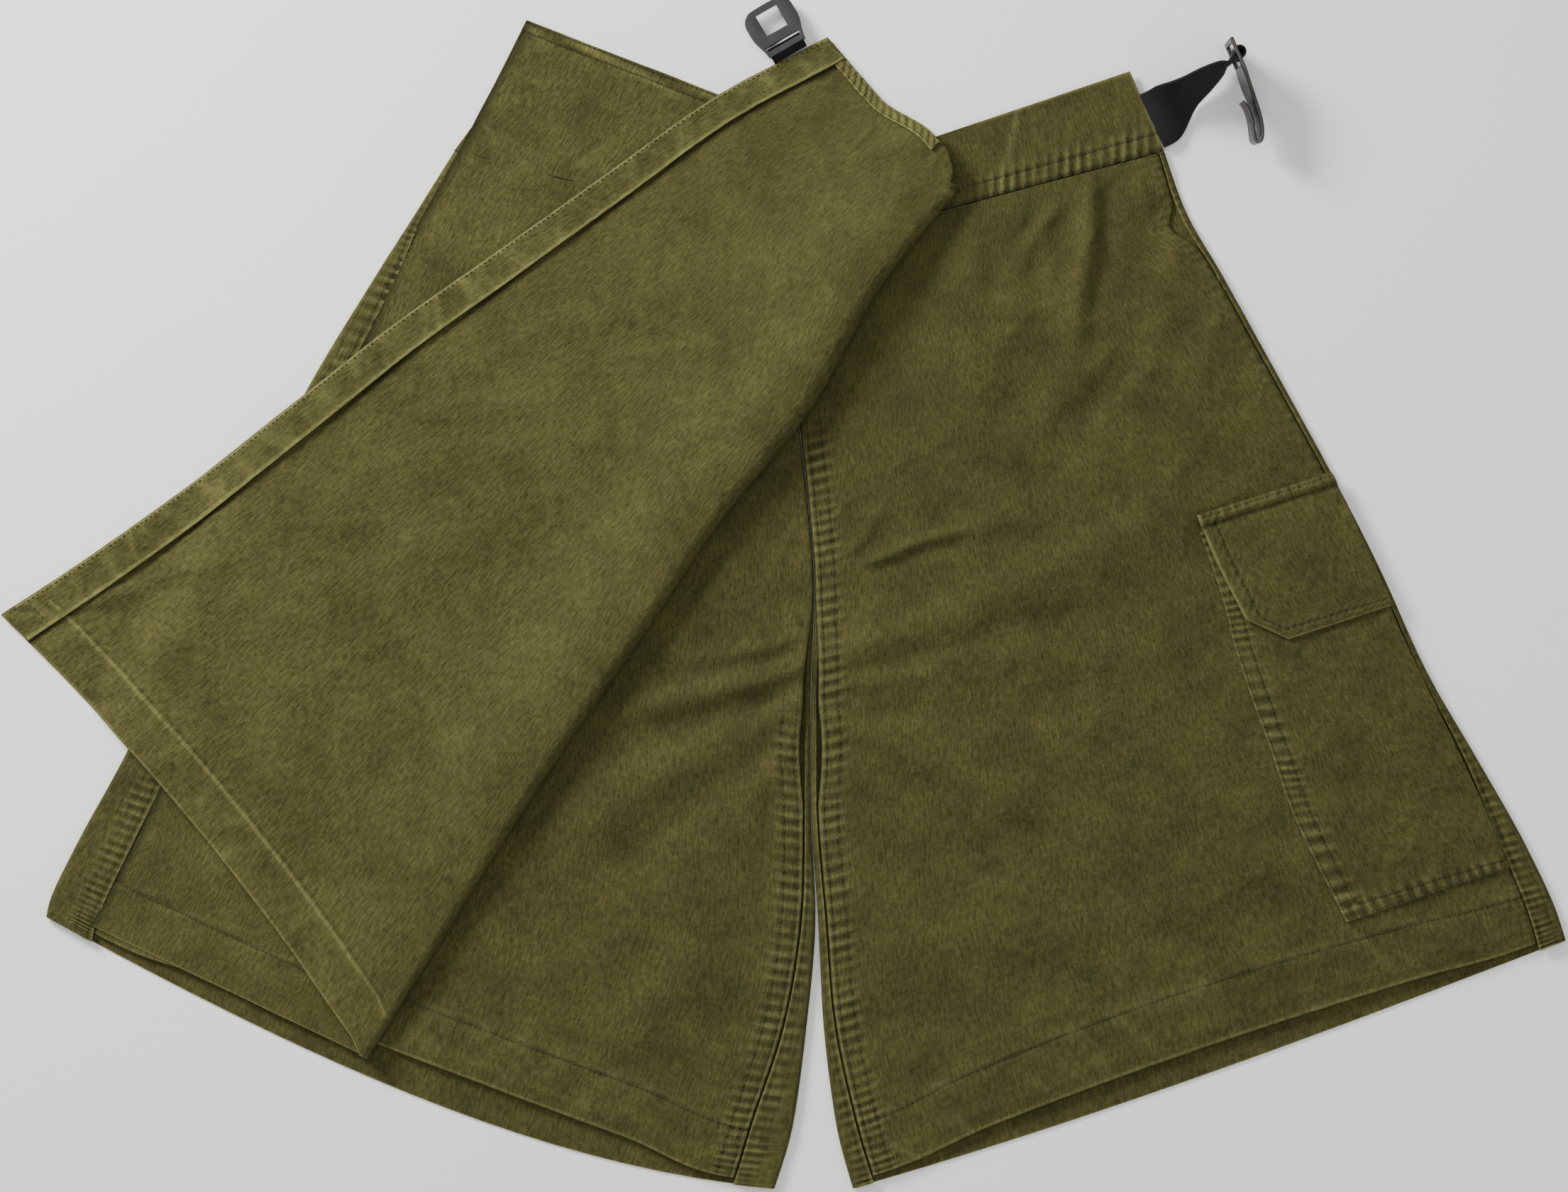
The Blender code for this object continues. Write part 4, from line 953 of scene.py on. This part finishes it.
bag = cloth_grid("pocket_bag_cloth", bag_surface, span((0, 0.16, 16), (0.16, 1, 44)),
                 span((0, 0.9, 170), (0.9, 1, 24)), canvas, 1.0, flip=True)
settle(bag, "pocket_bag")
flap = cloth_grid("pocket_flap_cloth", flap_surface, span((0, 0.2, 18), (0.2, 1, 52)), span((0, 1, 78)), canvas,
                  1.9, flip=True)
settle(flap, "pocket_flap")
pocket_rows = []
for inset in BAG_ROWS:
    pocket_rows.append(row_on(bag_surface, inset / BAG_WIDE, np.linspace(0.24, 1 - inset / BAG_LONG, 200)))
    pocket_rows.append(row_on(bag_surface, np.linspace(inset / BAG_WIDE, 0.98, 120), 1 - inset / BAG_LONG))
pocket_rows.append(row_on(flap_surface, 8.0 / FLAP_WIDE, np.linspace(0.1, 0.84, 60)))
pocket_rows.append(row_on(flap_surface, np.linspace(8.0 / FLAP_WIDE, 0.98, 80), 1 - 8.0 / 0.82 / FLAP_LONG))
pocket_rows.append(row_on(flap_surface, np.linspace(0.02, 0.98, 80), 1.6 / FLAP_LONG))
stitch_rows("stitches_pocket", pocket_rows, olive_thread_painted_shade)

# Strap: black cotton tape from the right end of the waistband. It turns on edge, goes round the
# crossbar of the hook and is sewn back on itself.
Strap = namedtuple("Strap", "x y z width twist heading")
STRAP = [
    Strap(202.4, 259.5, 3.4, 32, 0, 23.5),
    Strap(208.6, 263.2, 5.6, 32, 13, 28),
    Strap(214.5, 269.5, 11.4, 31.5, 42, 36),
    Strap(221, 275.5, 13.8, 30, 58, 38),
    Strap(230, 282.3, 15.4, 28, 66, 37),
    Strap(238, 288, 16.6, 26, 77, 35),
    Strap(242.0, 290.9, 17.0, 25, 90, 34.8),
]
STRAP_THICK = 1.4
LOOP_RADIUS = 3.0
LOOP_LOBE = 6.0
HOOK_BAR = (246.5, 294.0)


def woven_tape(name, colour, pale):
    # Plain woven tape: close ribs across it, dull black with greyer thread tops
    material, tree, shader = new_material(name)
    uv = add(tree, "ShaderNodeUVMap", uv_map="cloth").outputs["UV"]
    ribs = add(tree, "ShaderNodeTexWave", [("Vector", uv), ("Scale", 240.0), ("Distortion", 0.4)],
               bands_direction="Y").outputs["Fac"]
    ends = add(tree, "ShaderNodeTexWave", [("Vector", uv), ("Scale", 300.0), ("Distortion", 0.4)],
               bands_direction="X").outputs["Fac"]
    threads = add(tree, "ShaderNodeMath", [(0, ribs), (1, ends)], operation="MULTIPLY").outputs[0]
    fuzz = add(tree, "ShaderNodeTexNoise", [("Vector", uv), ("Scale", 500.0), ("Detail", 3.0)]).outputs["Fac"]
    worn = add(tree, "ShaderNodeMath", [(0, threads), (1, fuzz)], operation="MULTIPLY").outputs[0]
    mix = add(tree, "ShaderNodeMix", [("Factor", worn), ("A", linear(colour)), ("B", linear(pale))],
              data_type="RGBA")
    tree.links.new(mix.outputs["Result"], shader.inputs["Base Color"])
    bump = add(tree, "ShaderNodeBump", [("Height", worn), ("Strength", 0.6), ("Distance", 0.0004)])
    tree.links.new(bump.outputs["Normal"], shader.inputs["Normal"])
    shader.inputs["Roughness"].default_value = 0.85
    shader.inputs["Specular IOR Level"].default_value = 0.3
    return material


black_tape = woven_tape("black_woven_tape", "0d0d0f", "26262a")


def strap_path():
    path = [tuple(s) for s in STRAP]
    last = STRAP[-1]
    bar_x, bar_y = HOOK_BAR
    for degrees in np.linspace(90, -90, 13):
        turn = radians(last.heading + degrees)
        reach = LOOP_RADIUS + (LOOP_LOBE - LOOP_RADIUS) * max(cos(radians(degrees)), 0) ** 0.7
        reach = reach if abs(degrees) < 80 else LOOP_RADIUS
        path.append((bar_x + cos(turn) * reach, bar_y + sin(turn) * reach, last.z, last.width, 90,
                     last.heading + degrees - 90))
    back_way, side_way = radians(last.heading + 180), radians(last.heading - 90)
    for run in (5.0, 10.0):
        path.append((bar_x + cos(side_way) * LOOP_RADIUS + cos(back_way) * run,
                     bar_y + sin(side_way) * LOOP_RADIUS + sin(back_way) * run,
                     last.z, last.width, 90, last.heading - 180))
    return [Strap(*p) for p in path]


STRAP_PATH = strap_path()


def strap_surface(w, v):
    s = read(STRAP_PATH, v)
    ahead = np.radians(s.heading)
    twist = np.radians(s.twist)
    across = np.stack([-np.sin(ahead) * np.cos(twist), np.cos(ahead) * np.cos(twist), np.sin(twist)])
    along = np.stack([np.cos(ahead), np.sin(ahead), np.zeros_like(ahead)])
    face = np.cross(along.T, across.T).T
    offset = STRAP_THICK / 2 + 0.12 * bell(np.abs(w) - 0.42, 0.05)
    x, y, z = (s.x, s.y, s.z) + across * s.width * w + face * offset
    return x, y, z, np.zeros_like(x), np.zeros_like(x)


strap = cloth_grid("strap_tape", strap_surface, span((-0.5, 0.5, 16)), span((0, 1, 150)), black_tape,
                   STRAP_THICK, flip=False)
settle(strap, "strap")
stitch_rows("stitches_strap", [row_on(strap_surface, w, np.linspace(0.03, 0.27, 60), 0.1) for w in (0.42, -0.42)],
            black_thread)

# Hook: a slide and hook pressed from one strip of steel, 2 mm thick, plated dark. The tape goes through
# its two slots, and the blade tapers and bends back on itself to catch the square hole of the tab.
HOOK_MIDDLE_Z = 17.0
HOOK_THICK = 2.0
SLOT_PART = 0.82
Station = namedtuple("Station", "x y half lean")
HOOK = [
    Station(242.9, 302.3, 15.5, 0),
    Station(243.9, 300.0, 16.0, 0),
    Station(245.9, 295.4, 16.0, 0),
    Station(247.1, 292.6, 16.0, 0),
    Station(249.1, 288.0, 16.0, 0),
    Station(250.3, 284.6, 15.5, 1),
    Station(252.6, 277.5, 13.0, 3),
    Station(255.4, 270.0, 9.5, 5),
    Station(258.6, 261.0, 7.5, 6),
    Station(260.2, 253.5, 6.4, 6),
    Station(260.0, 248.4, 6.0, 6),
    Station(258.4, 246.6, 5.9, 6),
    Station(256.5, 247.8, 5.8, 6),
    Station(255.8, 252.0, 5.6, 6),
    Station(254.6, 259.0, 5.3, 5),
    Station(252.4, 265.4, 5.0, 4),
    Station(249.8, 268.6, 4.2, 4),
]


def plated_steel(name):
    # Pressed steel with dark nickel plating: glossy, with faint rub marks and brighter worn edges
    material, tree, shader = new_material(name)
    place = add(tree, "ShaderNodeTexCoord").outputs["Object"]
    cloudy = add(tree, "ShaderNodeTexNoise", [("Vector", place), ("Scale", 180.0), ("Detail", 4.0)]).outputs["Fac"]
    rough = add(tree, "ShaderNodeMapRange", [("Value", cloudy), ("To Min", 0.26), ("To Max", 0.5)])
    tree.links.new(rough.outputs["Result"], shader.inputs["Roughness"])
    edges = add(tree, "ShaderNodeNewGeometry").outputs["Pointiness"]
    worn = add(tree, "ShaderNodeMapRange", [("Value", edges), ("From Min", 0.5), ("From Max", 0.62)])
    mix = add(tree, "ShaderNodeMix", [("Factor", worn.outputs["Result"]), ("A", linear("1f1e1f")),
                                      ("B", linear("77736d"))], data_type="RGBA")
    tree.links.new(mix.outputs["Result"], shader.inputs["Base Color"])
    bump = add(tree, "ShaderNodeBump", [("Height", cloudy), ("Strength", 0.15), ("Distance", 0.0002)])
    tree.links.new(bump.outputs["Normal"], shader.inputs["Normal"])
    shader.inputs["Metallic"].default_value = 1.0
    return material


steel = plated_steel("dark_plated_steel")


def hook_surface(w, v):
    s = read(HOOK, v)
    ahead = read(HOOK, np.minimum(v + 0.01, 1.0))
    behind = read(HOOK, np.maximum(v - 0.01, 0.0))
    along_x, along_y = ahead.x - behind.x, ahead.y - behind.y
    length = np.hypot(along_x, along_y)
    side_x, side_y = -along_y / length, along_x / length
    x = s.x + s.half * w * np.sin(np.radians(s.lean)) + side_x * HOOK_THICK / 2
    y = s.y + side_y * HOOK_THICK / 2
    return x, y, HOOK_MIDDLE_Z + s.half * w, np.zeros_like(x), np.zeros_like(x)


HOOK_STEPS = len(HOOK) - 1
HOOK_COLUMNS = [-1, -SLOT_PART, -0.4, 0.4, SLOT_PART, 1]


def in_slot(centre):
    column, station = int((centre.x + 1) / 2 * 5), (centre.y + 1) / 2 * HOOK_STEPS
    return column in (1, 2, 3) and (1 < station < 2 or 3 < station < 4)


hook = cloth_grid("hook_plate", hook_surface, HOOK_COLUMNS, span((0, 1, HOOK_STEPS * 4)), steel, HOOK_THICK,
                  missing=in_slot)
settle(hook, "hook", "hook_body")

# Tab: an injection-moulded plate of black plastic on a short loop of tape at the corner of the wrap.
# It has a bar inside the loop, a slot beyond it, and the square hole that the hook catches in.
TAB_BASE = (4.0, 296.0)
TAB_AIM = (-0.50, 0.866)
TAB_BAR_OUT = 5.0
TAB_BAR_Z = 4.0
TAB_THICK = 3.2
TAB_TILT = 4.0
TAB_LOOP_RADIUS = 3.0
TAB_WEBBING = 1.2
TAB_WEBBING_WIDE = 20.0
TAB_BACK = 3.4
TAB_BAR_FAR = 6.6
TAB_SLOT_FAR = 9.2
TAB_HOLE_NEAR = 14.6
TAB_HOLE_FAR = 27.6
TAB_END = 31.0
TAB_HALF = 14.2
TAB_SLOT_HALF = 10.6
TAB_HOLE_HALF = 6.5
TAB_CORNER = 7.5


def moulded_plastic(name):
    # Acetal or nylon with a fine spark-eroded texture: near black, dull gloss, scuffed a little grey
    material, tree, shader = new_material(name)
    place = add(tree, "ShaderNodeTexCoord").outputs["Object"]
    grit = add(tree, "ShaderNodeTexNoise", [("Vector", place), ("Scale", 1500.0), ("Detail", 2.0)]).outputs["Fac"]
    scuffs = add(tree, "ShaderNodeTexNoise", [("Vector", place), ("Scale", 160.0), ("Detail", 4.0)]).outputs["Fac"]
    worn = add(tree, "ShaderNodeMapRange", [("Value", scuffs), ("From Min", 0.45), ("From Max", 0.75)])
    mix = add(tree, "ShaderNodeMix", [("Factor", worn.outputs["Result"]), ("A", linear("121214")),
                                      ("B", linear("26262a"))], data_type="RGBA")
    tree.links.new(mix.outputs["Result"], shader.inputs["Base Color"])
    rough = add(tree, "ShaderNodeMapRange", [("Value", scuffs), ("To Min", 0.36), ("To Max", 0.56)])
    tree.links.new(rough.outputs["Result"], shader.inputs["Roughness"])
    bump = add(tree, "ShaderNodeBump", [("Height", grit), ("Strength", 0.25), ("Distance", 0.0002)])
    tree.links.new(bump.outputs["Normal"], shader.inputs["Normal"])
    return material


black_plastic = moulded_plastic("black_moulded_plastic")
aim = Vector((*TAB_AIM, 0)).normalized()
across_tab = Vector((-aim.y, aim.x, 0))
tab_base = Vector((*TAB_BASE, 0))
bar = tab_base + aim * TAB_BAR_OUT + Vector((0, 0, TAB_BAR_Z))


def tab_surface(wide, out):
    # wide and out in millimetres from the plate's middle line and from the loop's base
    tilt = radians(TAB_TILT)
    share = np.clip((np.abs(wide) - TAB_HOLE_HALF) / (TAB_HALF - TAB_HOLE_HALF), 0, 1)
    flare = 11.2 + 3.2 * ease((out - TAB_BACK) / 14)
    corner = np.clip((out - TAB_END + TAB_CORNER) / TAB_CORNER, 0, 0.985)
    half = flare - TAB_CORNER * (1 - np.sqrt(1 - corner ** 2)) * 0.92
    slot_keeps = (out < TAB_HOLE_NEAR) & (share < 0.99)
    moved = TAB_HOLE_HALF + (half - TAB_HOLE_HALF) * share
    beyond = np.where(slot_keeps, np.minimum(np.abs(wide), half - 1.6), moved)
    wide = np.sign(wide) * np.where(np.abs(wide) > TAB_HOLE_HALF, beyond, np.abs(wide))
    reach = out - TAB_BAR_OUT - 0.9 * corner ** 2 * (wide / TAB_HALF) ** 2
    lift = TAB_THICK / 2
    x, y, z = (bar[a] + aim[a] * (reach * cos(tilt) + lift * sin(tilt)) + across_tab[a] * wide
               for a in range(3))
    z = z - reach * sin(tilt) + lift * cos(tilt)
    return x, y, z, np.zeros_like(x), np.zeros_like(x)


TAB_COLUMNS = [-TAB_HALF, -TAB_SLOT_HALF, -TAB_HOLE_HALF, -2, 2, TAB_HOLE_HALF, TAB_SLOT_HALF, TAB_HALF]
TAB_ROWS = [TAB_BACK, TAB_BAR_FAR, TAB_SLOT_FAR, 12, TAB_HOLE_NEAR, 18, 21, 23.5, 25, 26.4, TAB_HOLE_FAR,
            28.6, 29.4, 30.1, 30.6, 30.9, TAB_END]


def tab_gap(centre):
    column = int((centre.x + 1) / 2 * (len(TAB_COLUMNS) - 1))
    row = int((centre.y + 1) / 2 * (len(TAB_ROWS) - 1))
    return (row == 1 and 0 < column < 6) or (3 < row < 10 and 1 < column < 5)


tab = cloth_grid("tab_plate", tab_surface, TAB_COLUMNS, TAB_ROWS, black_plastic, TAB_THICK, missing=tab_gap)
tab.modifiers["edge"].width = 0.7 * MM
tab.modifiers["edge"].segments = 3
settle(tab, "tab", "tab_body")


def webbing_path():
    # Stations along the loop: out, height, and the direction that its outer face looks in
    path = [(0.3, 1.0, 0, -1), (2.6, 1.0, 0, -1)]
    for degrees in np.linspace(-90, 90, 13):
        a, z = cos(radians(degrees)), sin(radians(degrees))
        path.append((TAB_BAR_OUT + a * TAB_LOOP_RADIUS, TAB_BAR_Z + z * TAB_LOOP_RADIUS, a, z))
    return path + [(2.4, 6.2, -0.5, 0.87), (0.3, 3.4, -0.6, 0.8)]


LoopPoint = namedtuple("LoopPoint", "out height face_out face_up")
WEBBING_PATH = [LoopPoint(*p) for p in webbing_path()]


def webbing_surface(w, v):
    p = read(WEBBING_PATH, v)
    half = TAB_WEBBING / 2
    x, y = (tab_base[a] + aim[a] * (p.out + p.face_out * half) + across_tab[a] * TAB_WEBBING_WIDE * w
            for a in range(2))
    return x, y, p.height + p.face_up * half, np.zeros_like(x), np.zeros_like(x)


loop = cloth_grid("tab_loop_tape", webbing_surface, span((-0.5, 0.5, 12)), span((0, 1, 48)), black_tape,
                  TAB_WEBBING)
settle(loop, "tab_webbing")

# Studio: a pale sweep under the garment, a soft key from the upper left and a camera straight above
PIXEL = 0.39
FRAME = (2210, 1680)
CAMERA_HIGH = 2.5
SENSOR = 36.0
floor_mesh = bmesh.new()
bmesh.ops.create_grid(floor_mesh, x_segments=2, y_segments=2, size=6)
floor_data = bpy.data.meshes.new("studio_floor")
floor_mesh.to_mesh(floor_data)
floor_mesh.free()
paper, paper_tree, paper_shader = new_material("pale_paper")
paper_place = add(paper_tree, "ShaderNodeTexCoord").outputs["Object"]
paper_grain = add(paper_tree, "ShaderNodeTexNoise", [("Vector", paper_place), ("Scale", 3.0)]).outputs["Fac"]
paper_tone = add(paper_tree, "ShaderNodeMix", [("Factor", paper_grain), ("A", linear("f4f4f2")),
                                               ("B", linear("fafaf8"))], data_type="RGBA")
paper_tree.links.new(paper_tone.outputs["Result"], paper_shader.inputs["Base Color"])
paper_shader.inputs["Roughness"].default_value = 0.9
floor_data.materials.append(paper)
studio_floor = bpy.data.objects.new("studio_floor", floor_data)
bpy.context.scene.collection.objects.link(studio_floor)

lens_data = bpy.data.cameras.new("overhead")
lens_data.sensor_width = SENSOR
lens_data.lens = SENSOR * CAMERA_HIGH / (FRAME[0] * PIXEL * MM)
overhead = bpy.data.objects.new("overhead", lens_data)
overhead.location = (0.2 * MM, -1.0 * MM, CAMERA_HIGH)
bpy.context.scene.collection.objects.link(overhead)
bpy.context.scene.camera = overhead


def softbox(name, place, size, watts):
    lamp = bpy.data.lights.new(name, "AREA")
    lamp.shape = "DISK"
    lamp.size = size
    lamp.energy = watts
    box = bpy.data.objects.new(name, lamp)
    box.location = place
    box.rotation_euler = (-Vector(place)).to_track_quat("-Z", "Y").to_euler()
    bpy.context.scene.collection.objects.link(box)


softbox("key", (-1.25, 1.2, 0.95), 0.7, 60)
softbox("fill", (1.8, -1.0, 2.2), 2.0, 10)
softbox("top", (0.0, 0.4, 3.2), 2.4, 34)
world = bpy.data.worlds.new("studio")
world.use_nodes = True
world.node_tree.nodes["Background"].inputs["Color"].default_value = (1, 1, 1, 1)
world.node_tree.nodes["Background"].inputs["Strength"].default_value = 0.45
bpy.context.scene.world = world
